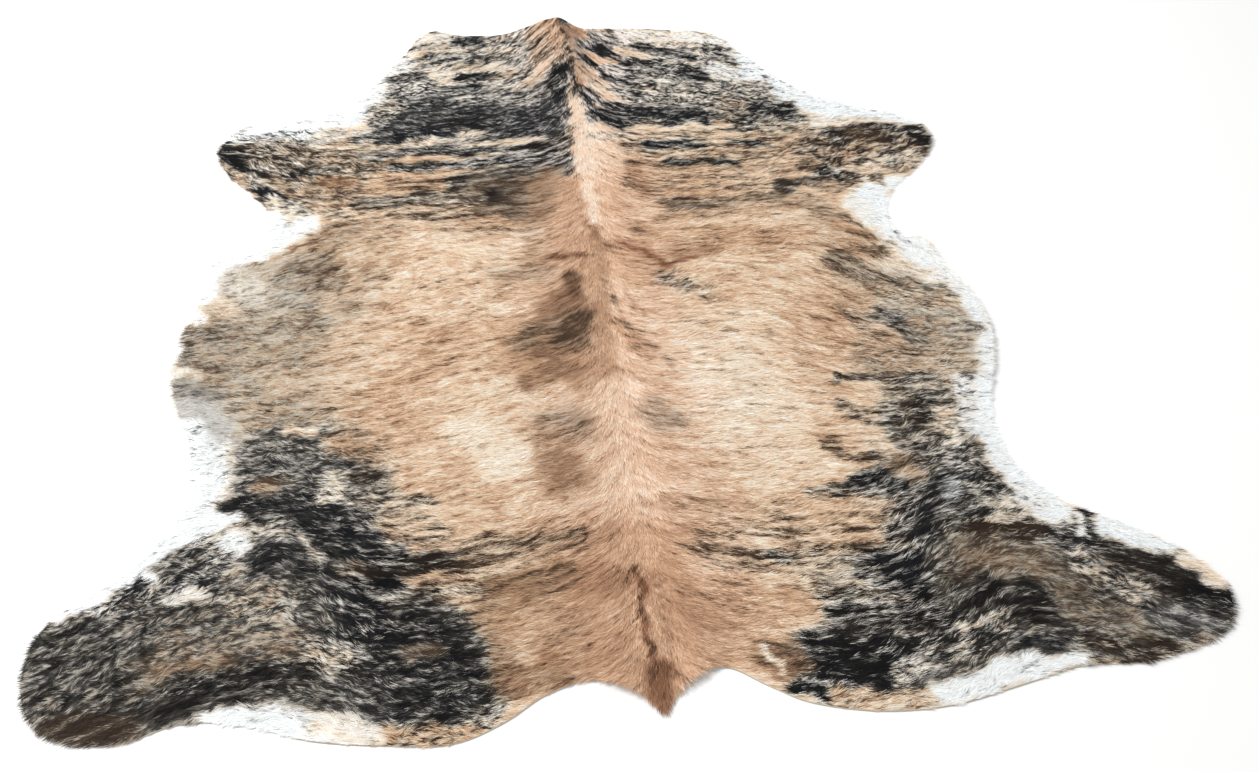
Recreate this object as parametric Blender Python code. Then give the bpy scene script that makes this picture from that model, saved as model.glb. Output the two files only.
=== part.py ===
"""A brindle cowhide rug, lying on a floor with its hair side up.

It is one cut piece of hair-on leather. The neck points to +Y, the tail root to -Y, and the legs spread to
both sides. The solid holds the leather and the short hair pressed flat on it, with the folds that stand up
from the floor. Its origin is on the floor, under the middle of the hide.
"""

import math
from collections import namedtuple

import bmesh
import bpy
from mathutils import Vector, kdtree
from mathutils.geometry import delaunay_2d_cdt

# Driving dimensions, in metres.
LEATHER = 0.0025  # the tanned skin alone
PILE = 0.0040  # the short hair lying on it
RIM_PILE = 0.0008  # what is left of the hair at the cut edge
RIM_WIDTH = 0.040  # how far in from the cut edge the hair has its full depth
EDGE_STEP = 0.020  # spacing of the points round the cut edge
FLAT_STEP = 0.064  # spacing of the points where the hide lies flat
FOLD_STEP = 0.034  # spacing of the points on a fold
NARROW_STEP = 0.020  # spacing of the points on a narrow fold
NARROW_SPREAD = 0.070  # a fold is narrow when it spreads less than this to either side
CLEAR_SHARE = 0.62  # an inner point keeps this share of its spacing from the cut edge

HAIR_COLOUR = (0.56, 0.42, 0.29, 1.0)
HAIR_ROUGHNESS = 0.62

# The cut edge as a tanner would chart it: each landmark is measured on the left and on the right side, as its
# reach out from the spine and its distance along the spine from the tail root.
Landmark = namedtuple("Landmark", "place left_out left_along right_out right_along")
EDGE = (
    Landmark("neck dip", 0.130, 2.070, 0.100, 2.078),
    Landmark("neck side", 0.290, 2.082, 0.265, 2.050),
    Landmark("neck corner", 0.368, 2.090, 0.372, 1.995),
    Landmark("neck edge", 0.438, 1.990, 0.425, 1.930),
    Landmark("throat", 0.500, 1.885, 0.480, 1.835),
    Landmark("brisket", 0.575, 1.782, 0.560, 1.735),
    Landmark("shin", 0.700, 1.748, 0.665, 1.668),
    Landmark("knee", 0.800, 1.738, 0.755, 1.625),
    Landmark("fore toe front", 0.856, 1.672, 0.805, 1.578),
    Landmark("fore toe", 0.866, 1.600, 0.818, 1.522),
    Landmark("fore toe back", 0.838, 1.530, 0.802, 1.460),
    Landmark("elbow", 0.778, 1.452, 0.750, 1.396),
    Landmark("armpit front", 0.738, 1.385, 0.688, 1.332),
    Landmark("armpit", 0.738, 1.312, 0.656, 1.255),
    Landmark("armpit back", 0.772, 1.254, 0.672, 1.184),
    Landmark("chest corner", 0.845, 1.230, 0.725, 1.150),
    Landmark("chest", 0.853, 1.165, 0.746, 1.055),
    Landmark("girth", 0.878, 1.040, 0.773, 0.960),
    Landmark("belly", 0.904, 0.920, 0.785, 0.860),
    Landmark("belly back", 0.886, 0.800, 0.765, 0.755),
    Landmark("flank front", 0.850, 0.690, 0.735, 0.660),
    Landmark("flank", 0.836, 0.575, 0.720, 0.560),
    Landmark("stifle", 0.856, 0.485, 0.732, 0.470),
    Landmark("thigh", 0.930, 0.382, 0.795, 0.376),
    Landmark("shank", 1.032, 0.300, 0.900, 0.306),
    Landmark("hind toe front", 1.070, 0.240, 0.983, 0.230),
    Landmark("hind toe", 1.077, 0.160, 1.024, 0.150),
    Landmark("hind toe back", 1.052, 0.078, 1.010, 0.075),
    Landmark("heel", 0.985, 0.026, 0.960, 0.036),
    Landmark("hock", 0.895, 0.015, 0.885, 0.012),
    Landmark("hock back", 0.790, 0.044, 0.815, 0.000),
    Landmark("ham", 0.685, 0.026, 0.715, 0.004),
    Landmark("ham back", 0.580, -0.012, 0.600, -0.024),
    Landmark("buttock", 0.450, -0.034, 0.480, -0.050),
    Landmark("pin bone", 0.350, -0.040, 0.360, -0.050),
    Landmark("rump side", 0.265, -0.008, 0.245, -0.022),
    Landmark("rump arch", 0.190, 0.040, 0.178, 0.018),
    Landmark("rump", 0.112, 0.060, 0.104, 0.065),
    Landmark("tail side", 0.045, 0.030, 0.035, 0.030),
)
NECK_CREST = (-0.045, 2.080)
TAIL_TIP = (0.000, -0.015)

# Each fold is a soft ridge from one place to another, charted from the tail root as the edge is. It has a height
# at its start, middle and end, and a spread to its left and to its right, looking from its start to its end.
Fold = namedtuple("Fold", "name start end start_height middle_height end_height left_spread right_spread")
FOLDS = (
    Fold("neck crest", (-0.045, 2.110), (-0.002, 1.700), 0.042, 0.026, 0.000, 0.080, 0.170),
    Fold("neck left roll", (-0.400, 2.120), (-0.300, 1.840), 0.016, 0.007, 0.000, 0.110, 0.120),
    Fold("neck right roll", (0.380, 2.040), (0.180, 1.830), 0.014, 0.007, 0.000, 0.120, 0.110),
    Fold("left shoulder", (-0.080, 1.740), (-0.640, 1.590), 0.000, 0.008, 0.000, 0.120, 0.100),
    Fold("right shoulder", (0.060, 1.650), (0.580, 1.560), 0.000, 0.008, 0.000, 0.100, 0.120),
    Fold("left fore leg", (-0.600, 1.690), (-0.880, 1.580), 0.000, 0.009, 0.008, 0.080, 0.090),
    Fold("right fore leg", (0.540, 1.600), (0.830, 1.510), 0.000, 0.008, 0.008, 0.090, 0.080),
    Fold("withers", (-0.060, 1.420), (-0.040, 0.960), 0.000, 0.007, 0.000, 0.060, 0.110),
    Fold("saddle crease", (0.000, 1.140), (0.340, 1.070), 0.004, 0.006, 0.000, 0.080, 0.080),
    Fold("left belly edge", (-0.880, 1.120), (-0.860, 0.640), 0.000, 0.011, 0.000, 0.100, 0.060),
    Fold("right belly edge", (0.760, 1.060), (0.745, 0.620), 0.000, 0.010, 0.000, 0.060, 0.100),
    Fold("left stifle", (-0.790, 0.540), (-0.360, 0.140), 0.000, 0.012, 0.000, 0.090, 0.110),
    Fold("right stifle", (0.660, 0.560), (0.430, 0.120), 0.000, 0.011, 0.000, 0.110, 0.090),
    Fold("left shank", (-0.760, 0.230), (-1.060, 0.130), 0.000, 0.008, 0.007, 0.080, 0.080),
    Fold("right shank", (0.700, 0.240), (1.000, 0.140), 0.000, 0.008, 0.006, 0.080, 0.080),
    Fold("tail left lip", (-0.060, 0.400), (-0.050, 0.010), 0.000, 0.007, 0.009, 0.056, 0.080),
    Fold("tail right lip", (0.046, 0.400), (0.056, 0.010), 0.000, 0.007, 0.009, 0.080, 0.056),
)


def clear_scene():
    for thing in list(bpy.data.objects):
        bpy.data.objects.remove(thing)


def edge_landmarks():
    """The landmarks as points, from the neck crest down the left side to the tail and up the right side."""
    left = [(-mark.left_out, mark.left_along) for mark in EDGE]
    right = [(mark.right_out, mark.right_along) for mark in reversed(EDGE)]
    return [Vector(point) for point in [NECK_CREST, *left, TAIL_TIP, *right]]


def smooth_loop(knots, step):
    """A closed curve through the knots, with its points about a step apart."""
    points = []
    count = len(knots)
    for i, start in enumerate(knots):
        before, end, after = knots[i - 1], knots[(i + 1) % count], knots[(i + 2) % count]
        pieces = max(2, round((end - start).length / step))
        for k in range(pieces):
            t = k / pieces
            bend = 2 * before - 5 * start + 4 * end - after
            twist = -before + 3 * start - 3 * end + after
            points.append(start + 0.5 * ((end - before) * t + bend * t**2 + twist * t**3))
    return points


def smooth_step(share):
    return share * share * (3 - 2 * share)


def height_along(fold, share):
    """The fold's height between its start, 0, and its end, 1: a parabola through its three heights."""
    bend = 2 * fold.middle_height - (fold.start_height + fold.end_height) / 2
    rest = 1 - share
    return fold.start_height * rest**2 + 2 * bend * rest * share + fold.end_height * share**2


def fold_height(fold, place):
    """How high one fold lifts the hide above the floor at a place."""
    start, end = Vector(fold.start), Vector(fold.end)
    run = end - start
    share = max(0.0, min(1.0, (place - start).dot(run) / run.length_squared))
    aside = place - (start + share * run)
    spread = fold.left_spread if run.cross(aside) > 0 else fold.right_spread
    if aside.length >= spread:
        return 0.0
    return height_along(fold, share) * 0.5 * (1 + math.cos(math.pi * aside.length / spread))


def lift(place):
    return max(fold_height(fold, place) for fold in FOLDS)


def is_inside(place, loop):
    """Whether a place lies within a closed loop, by counting the edges east of it."""
    inside = False
    for i, end in enumerate(loop):
        start = loop[i - 1]
        if (start.y > place.y) != (end.y > place.y):
            crossing = start.x + (end.x - start.x) * (place.y - start.y) / (end.y - start.y)
            if crossing > place.x:
                inside = not inside
    return inside


def tree_of(points):
    tree = kdtree.KDTree(len(points))
    for i, point in enumerate(points):
        tree.insert(point.to_3d(), i)
    tree.balance()
    return tree


def from_edge(place, edge_tree):
    return edge_tree.find(place.to_3d())[2]


def grid(low, high, step):
    """Staggered rows of places, a step apart, over a rectangle."""
    row_height = step * math.sqrt(3) / 2
    rows = math.ceil((high.y - low.y) / row_height)
    columns = math.ceil((high.x - low.x) / step)
    for row in range(rows):
        offset = 0.5 * step if row % 2 else 0.0
        for column in range(columns):
            yield Vector((low.x + column * step + offset, low.y + row * row_height))


def fill(loop, inner):
    """The triangles between a closed loop's points and the points inside it."""
    places, _, faces, *_ = delaunay_2d_cdt(loop + inner, [], [range(len(loop))], 1, 1e-6, False)
    kept = []
    for face in faces:
        centre = sum((places[i] for i in face), Vector((0.0, 0.0))) / len(face)
        if is_inside(centre, loop):
            kept.append(face)
    return places, kept


def step_at(place):
    """How far apart the points may be at a place: close together on a fold, and closer on a narrow one."""
    folds = [fold for fold in FOLDS if fold_height(fold, place) > 0]
    if not folds:
        return FLAT_STEP
    spread = min(min(fold.left_spread, fold.right_spread) for fold in folds)
    return NARROW_STEP if spread < NARROW_SPREAD else FOLD_STEP


def inner_points(loop, edge_tree):
    """Points inside the cut edge, on staggered grids of the spacing that each place needs."""
    low = Vector((min(p.x for p in loop), min(p.y for p in loop)))
    high = Vector((max(p.x for p in loop), max(p.y for p in loop)))
    kept = []
    for step in (NARROW_STEP, FOLD_STEP, FLAT_STEP):
        for place in grid(low, high, step):
            if step_at(place) != step or not is_inside(place, loop):
                continue
            if from_edge(place, edge_tree) > CLEAR_SHARE * step:
                kept.append(place)
    return kept


def thickness(from_rim):
    """Leather and hair together. The hair thins out towards the cut edge."""
    share = smooth_step(min(1.0, from_rim / RIM_WIDTH))
    return LEATHER + RIM_PILE + (PILE - RIM_PILE) * share


def middle_of(loop):
    across, along = [p.x for p in loop], [p.y for p in loop]
    return Vector(((min(across) + max(across)) / 2, (min(along) + max(along)) / 2))


def hair_material():
    material = bpy.data.materials.new("brindle_hair")
    material.use_nodes = True
    shader = material.node_tree.nodes["Principled BSDF"]
    shader.inputs["Base Color"].default_value = HAIR_COLOUR
    shader.inputs["Roughness"].default_value = HAIR_ROUGHNESS
    shader.inputs["Metallic"].default_value = 0.0
    return material


def build_hide():
    """Fills the cut edge with faces, extrudes them to the hide's thickness and lifts the folds."""
    loop = smooth_loop(edge_landmarks(), EDGE_STEP)
    edge_tree = tree_of(loop)
    places, faces = fill(loop, inner_points(loop, edge_tree))

    sheet = bmesh.new()
    under = [sheet.verts.new(place.to_3d()) for place in places]
    for face in faces:
        sheet.faces.new([under[i] for i in face])
    made = bmesh.ops.extrude_face_region(sheet, geom=list(sheet.faces))["geom"]
    upper = {vert for vert in made if isinstance(vert, bmesh.types.BMVert)}

    middle = middle_of(loop)
    for vert in sheet.verts:
        place = vert.co.to_2d()
        deep = thickness(from_edge(place, edge_tree)) if vert in upper else 0.0
        vert.co = (place - middle).to_3d() + Vector((0, 0, lift(place) + deep))
    bmesh.ops.recalc_face_normals(sheet, faces=list(sheet.faces))

    mesh = bpy.data.meshes.new("hide")
    sheet.to_mesh(mesh)
    sheet.free()
    mesh.shade_smooth()
    mesh.set_sharp_from_angle(angle=math.radians(50))
    mesh.materials.append(hair_material())
    hide = bpy.data.objects.new("hide", mesh)
    bpy.context.scene.collection.objects.link(hide)
    return hide


clear_scene()
build_hide()
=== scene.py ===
# %% [markdown]
# # A brindle cowhide rug
#
# The rug is one whole hide, lying flat with its hair side up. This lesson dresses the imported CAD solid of
# it in three steps. A thin sheet of leather takes the solid's outline and folds. A coat of short hair is
# laid on the sheet, lock by lock, with Geometry Nodes. A colour chart of the hide, written as a table of
# named patches, tells a shader how much dark hair grows in each place.

import math
from collections import namedtuple

import bmesh
import bpy
import numpy as np
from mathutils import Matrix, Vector, kdtree, noise
from mathutils.bvhtree import BVHTree
from mathutils.geometry import delaunay_2d_cdt


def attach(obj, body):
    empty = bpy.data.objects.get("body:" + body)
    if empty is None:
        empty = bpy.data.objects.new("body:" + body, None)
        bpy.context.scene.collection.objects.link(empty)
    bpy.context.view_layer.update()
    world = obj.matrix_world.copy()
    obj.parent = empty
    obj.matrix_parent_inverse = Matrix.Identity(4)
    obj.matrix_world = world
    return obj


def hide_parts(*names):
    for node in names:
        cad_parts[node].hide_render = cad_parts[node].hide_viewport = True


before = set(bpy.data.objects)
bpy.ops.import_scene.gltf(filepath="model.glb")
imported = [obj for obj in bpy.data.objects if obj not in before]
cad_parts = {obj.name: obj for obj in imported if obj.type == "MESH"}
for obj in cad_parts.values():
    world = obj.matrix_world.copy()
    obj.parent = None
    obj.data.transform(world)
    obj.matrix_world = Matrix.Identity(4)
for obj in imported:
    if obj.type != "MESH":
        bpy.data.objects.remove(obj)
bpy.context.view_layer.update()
cad_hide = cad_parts["hide"]

# %% [markdown]
# ## The cut edge
#
# A tanner trims a hide with one long wavy cut. The CAD solid has that cut as its only upright faces, so
# the edge is read from the solid: we follow the lower border of the upright faces from point to point. A
# smooth curve through these points then gives more of them. Reading the edge keeps the sheet and the solid
# in step, where a second table of the same outline could drift away from it.

# %% Follow the solid's lower border
UPRIGHT = 0.05  # a face is upright when its normal leans up or down by less than this
RIM_PARTS = 3  # points on the smooth edge for each point of the solid's edge
LEATHER_INSET = 0.006  # the leather ends this far inside the solid, because hair sticks out over its edge


def rim_of_solid(shell):
    """The points along the lower border of the upright faces, in order."""
    shell.normal_update()
    beside = {}
    for edge in shell.edges:
        leans = sorted(face.normal.z for face in edge.link_faces)
        if len(leans) == 2 and leans[0] < -UPRIGHT and abs(leans[1]) < UPRIGHT:
            first, second = edge.verts
            beside.setdefault(first, []).append(second)
            beside.setdefault(second, []).append(first)
    here = min(beside, key=lambda vert: vert.index)
    ring, last = [here], None
    while True:
        onward = [vert for vert in beside[here] if vert is not last]
        last, here = here, onward[0]
        if here is ring[0]:
            return np.array([vert.co[:2] for vert in ring])
        ring.append(here)


def smooth_ring(knots, parts):
    """A closed curve through the knots, with this many points for each knot."""
    before, after = np.roll(knots, 1, 0), np.roll(knots, -1, 0)
    beyond = np.roll(knots, -2, 0)
    points = []
    for k in range(parts):
        t = k / parts
        bend = 2 * before - 5 * knots + 4 * after - beyond
        twist = -before + 3 * knots - 3 * after + beyond
        points.append(knots + 0.5 * ((after - before) * t + bend * t**2 + twist * t**3))
    return np.stack(points, 1).reshape(-1, 2)


def inwards(ring):
    """For each point of a closed ring that runs anticlockwise, the direction that points into it."""
    along = np.roll(ring, -1, 0) - np.roll(ring, 1, 0)
    along /= np.linalg.norm(along, axis=1, keepdims=True)
    return np.stack([-along[:, 1], along[:, 0]], 1)


shell = bmesh.new()
shell.from_mesh(cad_hide.data)
bmesh.ops.remove_doubles(shell, verts=shell.verts, dist=1e-5)
shell.verts.index_update()
solid = BVHTree.FromBMesh(shell)
cut = rim_of_solid(shell)
shell.free()
x, y = cut.T
if np.sum(x * np.roll(y, -1) - y * np.roll(x, -1)) < 0:
    cut = cut[::-1]
cut = smooth_ring(cut, RIM_PARTS)
rim = cut + LEATHER_INSET * inwards(cut)
print(len(rim), "points on the cut edge")

# %% [markdown]
# ## The leather
#
# The leather is about 2.5 mm thick, with no seams. It is filled with small triangles by Delaunay
# triangulation: a staggered grid of places inside the edge is joined up so that no triangle is long and
# thin. Each place is then lifted to the height of the solid's underside above the floor, which a ray from
# below finds. That gives the folds. They are softened a little, because the solid has them in coarse
# faces.

# %% Places on the leather and their heights
SKIN = 0.0025  # the thickness of the leather
SKIN_STEP = 0.0140  # the spacing of the places on the leather
SKIN_CLEAR = 0.55  # an inner place keeps this share of the spacing from the edge
SOFTENING_ROUNDS = 3
SOFTENING = 0.6  # how far a place moves each time


def inside(places, ring):
    """For each place, whether it lies within a closed ring: an odd number of edges east of it."""
    found = np.zeros(len(places), bool)
    for (x0, y0), (x1, y1) in zip(ring, np.roll(ring, -1, 0)):
        if y0 == y1:
            continue
        level = (y0 > places[:, 1]) != (y1 > places[:, 1])
        crossing = x0 + (x1 - x0) * (places[:, 1] - y0) / (y1 - y0)
        found ^= level & (crossing > places[:, 0])
    return found


def staggered(low, high, step):
    """Places in staggered rows, a step apart, over a rectangle."""
    rows = np.arange(low[1], high[1], step * math.sqrt(3) / 2)
    columns = np.arange(low[0], high[0], step)
    offset = 0.5 * step * (np.arange(len(rows)) % 2)
    across = columns[None, :] + offset[:, None]
    along = np.repeat(rows[:, None], len(columns), 1)
    return np.stack([across.ravel(), along.ravel()], 1)


def distance_from(ring, places):
    """How far each place is from the nearest point of a ring."""
    tree = kdtree.KDTree(len(ring))
    for i, (across, along) in enumerate(ring):
        tree.insert((across, along, 0), i)
    tree.balance()
    return np.array([tree.find((across, along, 0))[2] for across, along in places])


def underside_height(places):
    """The height of the solid's underside at each place."""
    up = Vector((0, 0, 1))
    heights = []
    for across, along in places:
        hit = solid.ray_cast(Vector((across, along, -1)), up)[0]
        heights.append(hit.z if hit else 0.0)
    return np.array(heights)


def softened(heights, faces, rounds):
    """The heights after each place has moved, several times, towards the middle of its neighbours."""
    ends = np.concatenate([faces[:, [0, 1]], faces[:, [1, 2]], faces[:, [2, 0]]])
    ends = np.concatenate([ends, ends[:, ::-1]])
    count = np.bincount(ends[:, 0], minlength=len(heights))
    for _ in range(rounds):
        total = np.bincount(ends[:, 0], weights=heights[ends[:, 1]], minlength=len(heights))
        heights = (1 - SOFTENING) * heights + SOFTENING * total / count
    return heights


spots = staggered(rim.min(0), rim.max(0), SKIN_STEP)
spots = spots[inside(spots, rim)]
spots = spots[distance_from(rim, spots) > SKIN_CLEAR * SKIN_STEP]
places = np.concatenate([rim, spots])
joined = delaunay_2d_cdt([Vector(p) for p in places], [], [range(len(rim))], 1, 1e-7, False)
places = np.array([tuple(p) for p in joined[0]])
faces = np.array([tuple(face) for face in joined[2]])
faces = faces[inside(places[faces].mean(1), rim)]
from_rim = distance_from(rim, places)
heights = softened(underside_height(places), faces, SOFTENING_ROUNDS)
print(len(places), "places and", len(faces), "faces on each side of the leather")

# %% [markdown]
# ## Creases
#
# A hide that was folded for its journey keeps a few sharp lines among its soft folds. Each one here is a
# low ridge with a steep side and a gentle side, so that light catches it as a crease. They are listed one
# by one, because no rule of cloth would put them just there. Places are measured from the tail root: how
# far out to the right, and how far along the spine.

# %% Raise the creases
MIDDLE = (-0.0265, 1.0212)  # the frame's origin, measured from the tail root
CREASE_END = 0.25  # the share of a crease's length over which each end fades out

Crease = namedtuple("Crease", "name start end height left_spread right_spread")
CREASES = (
    Crease("tail left lip", (-0.024, 0.330), (-0.010, 0.010), 0.0050, 0.050, 0.014),
    Crease("tail right lip", (0.012, 0.320), (0.010, 0.010), 0.0040, 0.014, 0.050),
    Crease("saddle cross, left", (-0.130, 1.172), (0.000, 1.160), 0.0030, 0.036, 0.012),
    Crease("saddle cross, right", (0.000, 1.215), (0.150, 1.130), 0.0028, 0.036, 0.012),
    Crease("withers line, left", (-0.024, 1.300), (-0.022, 1.030), 0.0026, 0.032, 0.010),
    Crease("withers line, right", (0.002, 1.300), (0.000, 1.030), 0.0022, 0.010, 0.032),
    Crease("neck edge", (-0.040, 2.105), (-0.006, 1.840), 0.0090, 0.046, 0.018),
    Crease("neck wrinkle, upper left", (-0.150, 1.985), (-0.075, 1.900), 0.0034, 0.024, 0.016),
    Crease("neck wrinkle, left", (-0.175, 1.870), (-0.090, 1.790), 0.0034, 0.028, 0.016),
    Crease("neck wrinkle, right", (0.030, 1.975), (0.120, 1.885), 0.0036, 0.018, 0.030),
    Crease("neck wrinkle, lower right", (0.030, 1.800), (0.120, 1.705), 0.0026, 0.016, 0.028),
)


def crease_height(crease, across, along):
    """How much one crease lifts the leather at each place."""
    start, end = np.array(crease.start), np.array(crease.end)
    run = end - start
    length = np.hypot(*run)
    offset = np.stack([across, along], 1) - start
    share = (offset @ run) / length**2
    aside = (run[0] * offset[:, 1] - run[1] * offset[:, 0]) / length
    spread = np.where(aside > 0, crease.left_spread, crease.right_spread)
    profile = 0.5 * (1 + np.cos(np.pi * np.clip(np.abs(aside) / spread, 0, 1)))
    ends = np.clip(np.minimum(share, 1 - share) / CREASE_END, 0, 1)
    return crease.height * profile * ends * ends * (3 - 2 * ends)


across, along = (places + np.array(MIDDLE)).T
heights = heights + sum(crease_height(crease, across, along) for crease in CREASES)
print("highest fold:", round(1000 * heights.max(), 1), "mm above the floor")

# %% [markdown]
# ## How the hair lies
#
# Hair grows backwards and outwards from the spine, and turns up where a leg begins. We chart that with one
# number at each place: how far back a hair stream that left the spine level would have drifted by then.
# Streams are then the lines on which "along the spine + drift" stays the same. The same number stretches
# the brindle's streaks along the hair, so that hair and pattern can't disagree. Each row of the table is
# one level along the spine, with a drift for every distance out from it. Left and right have their own
# numbers, because the two sides of a hide are never quite alike.

# %% Chart the streams
DRIFT_OUT = (0.00, 0.05, 0.12, 0.22, 0.30, 0.47, 0.65, 0.85, 1.10)
Drift = namedtuple("Drift", "place along left right")
DRIFTS = (
    Drift(
        "neck",
        2.12,
        (0, 0.075, 0.150, 0.225, 0.268, 0.340, 0.420, 0.500, 0.580),
        (0, 0.075, 0.150, 0.205, 0.240, 0.300, 0.350, 0.400, 0.450),
    ),
    Drift(
        "mid neck",
        1.92,
        (0, 0.070, 0.142, 0.205, 0.235, 0.300, 0.360, 0.420, 0.480),
        (0, 0.070, 0.142, 0.206, 0.246, 0.320, 0.380, 0.440, 0.500),
    ),
    Drift(
        "shoulder top",
        1.74,
        (0, 0.062, 0.122, 0.170, 0.190, 0.205, 0.200, 0.110, -0.020),
        (0, 0.062, 0.122, 0.160, 0.185, 0.270, 0.350, 0.400, 0.430),
    ),
    Drift(
        "shoulder",
        1.58,
        (0, 0.058, 0.098, 0.120, 0.140, 0.145, 0.100, 0.000, -0.140),
        (0, 0.058, 0.098, 0.118, 0.142, 0.140, 0.095, 0.070, 0.030),
    ),
    Drift(
        "behind the shoulder",
        1.42,
        (0, 0.056, 0.094, 0.100, 0.104, 0.110, 0.100, 0.040, -0.040),
        (0, 0.058, 0.104, 0.122, 0.126, 0.110, 0.095, 0.070, 0.030),
    ),
    Drift(
        "chest",
        1.26,
        (0, 0.056, 0.094, 0.080, 0.068, 0.085, 0.150, 0.240, 0.360),
        (0, 0.050, 0.085, 0.085, 0.080, 0.092, 0.150, 0.250, 0.370),
    ),
    Drift(
        "ribs",
        1.05,
        (0, 0.060, 0.105, 0.118, 0.130, 0.170, 0.205, 0.235, 0.280),
        (0, 0.045, 0.065, 0.045, 0.040, 0.105, 0.235, 0.360, 0.480),
    ),
    Drift(
        "belly",
        0.80,
        (0, 0.060, 0.100, 0.118, 0.138, 0.190, 0.212, 0.232, 0.260),
        (0, 0.045, 0.066, 0.075, 0.086, 0.165, 0.230, 0.280, 0.360),
    ),
    Drift(
        "loin",
        0.60,
        (0, 0.060, 0.100, 0.120, 0.135, 0.165, 0.185, 0.205, 0.240),
        (0, 0.045, 0.066, 0.082, 0.090, 0.115, 0.130, 0.160, 0.220),
    ),
    Drift(
        "hip",
        0.42,
        (0, 0.064, 0.108, 0.138, 0.152, 0.160, 0.100, 0.180, 0.300),
        (0, 0.045, 0.070, 0.105, 0.112, 0.118, 0.050, 0.110, 0.220),
    ),
    Drift(
        "rump",
        0.25,
        (0, 0.066, 0.112, 0.145, 0.160, 0.172, 0.100, 0.170, 0.300),
        (0, 0.045, 0.078, 0.100, 0.112, 0.114, -0.010, 0.080, 0.230),
    ),
    Drift(
        "tail root",
        0.00,
        (0, 0.066, 0.108, 0.135, 0.150, 0.158, 0.110, 0.180, 0.300),
        (0, 0.050, 0.085, 0.100, 0.105, 0.090, 0.000, 0.060, 0.160),
    ),
)
SPINE_ALONG = (0.0, 0.5, 0.8, 1.0, 1.2, 1.4, 1.7, 2.1)
SPINE_OUT = (0.0, 0.0, -0.008, -0.014, -0.014, -0.005, 0.0, 0.004)
CHART_STEP = 0.02
CHART_OUT = 1.2  # how far out the chart reaches
CHART_ALONG = (-0.1, 2.2)  # where it starts and ends along the spine
EVENED = 0.12  # nearer to the spine than this, the chart's steps are evened out
SLOPE_STEP = 0.005  # slopes are measured over this distance
BACKWARD_REACH = 0.052  # this near to the spine, hair lies mostly backwards


def blurred(chart, rounds):
    """The chart after each number has moved, several times, towards the mean of those beside it."""
    for _ in range(rounds):
        for axis in (0, 1):
            ahead = np.take(chart, np.r_[1 : chart.shape[axis], chart.shape[axis] - 1], axis)
            behind = np.take(chart, np.r_[0, 0 : chart.shape[axis] - 1], axis)
            chart = 0.5 * chart + 0.25 * (ahead + behind)
    return chart


def drift_chart(side):
    """One side's drift on an even grid: a row for each step along the spine, a column for each step out."""
    out = np.arange(0, CHART_OUT, CHART_STEP)
    rows = np.arange(*CHART_ALONG, CHART_STEP)
    known = sorted(DRIFTS, key=lambda row: row.along)
    by_row = np.array([np.interp(out, DRIFT_OUT, getattr(row, side)) for row in known])
    chart = np.array([np.interp(rows, [row.along for row in known], column) for column in by_row.T]).T
    level = blurred(chart, 4)
    near = np.clip(out / EVENED, 0, 1)[None, :]
    return chart * (1 - near) + level * near


def read_chart(chart, out, along):
    """The chart's value at each place, between its four nearest numbers."""
    u = np.clip(out / CHART_STEP, 0, chart.shape[1] - 1.001)
    v = np.clip((along - CHART_ALONG[0]) / CHART_STEP, 0, chart.shape[0] - 1.001)
    i, j = u.astype(int), v.astype(int)
    u, v = u - i, v - j
    low = chart[j, i] * (1 - u) + chart[j, i + 1] * u
    high = chart[j + 1, i] * (1 - u) + chart[j + 1, i + 1] * u
    return low * (1 - v) + high * v


def drift_of(out, along):
    """The drift, and how fast it grows outwards and along the spine, at each place."""
    found = []
    for side in ("left", "right"):
        chart = drift_chart(side)
        drift = read_chart(chart, np.abs(out), along)
        slope = (read_chart(chart, np.abs(out) + SLOPE_STEP, along) - drift) / SLOPE_STEP
        squeeze = (read_chart(chart, np.abs(out), along + SLOPE_STEP) - drift) / SLOPE_STEP
        found.append((drift, slope, squeeze))
    return [np.where(out < 0, left, right) for left, right in zip(*found)]


def stream_of(across, along):
    """Streak coordinates, and the direction in which hair lies, at each place."""
    out = across - np.interp(along, SPINE_ALONG, SPINE_OUT)
    drift, slope, squeeze = drift_of(out, along)
    lay = np.stack([np.sign(out), -slope / np.maximum(1 + squeeze, 0.3)], 1)
    lay /= np.linalg.norm(lay, axis=1, keepdims=True)
    back = np.exp(-((out / BACKWARD_REACH) ** 2))[:, None]
    lay = lay * (1 - back) + np.array([[0.0, -1.0]]) * back
    lay /= np.linalg.norm(lay, axis=1, keepdims=True)
    return out, along + drift, lay


stream_out, stream_along, lay = stream_of(across, along)
print("streams drift back by up to", round(float((stream_along - along).max()), 2), "m")
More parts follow.
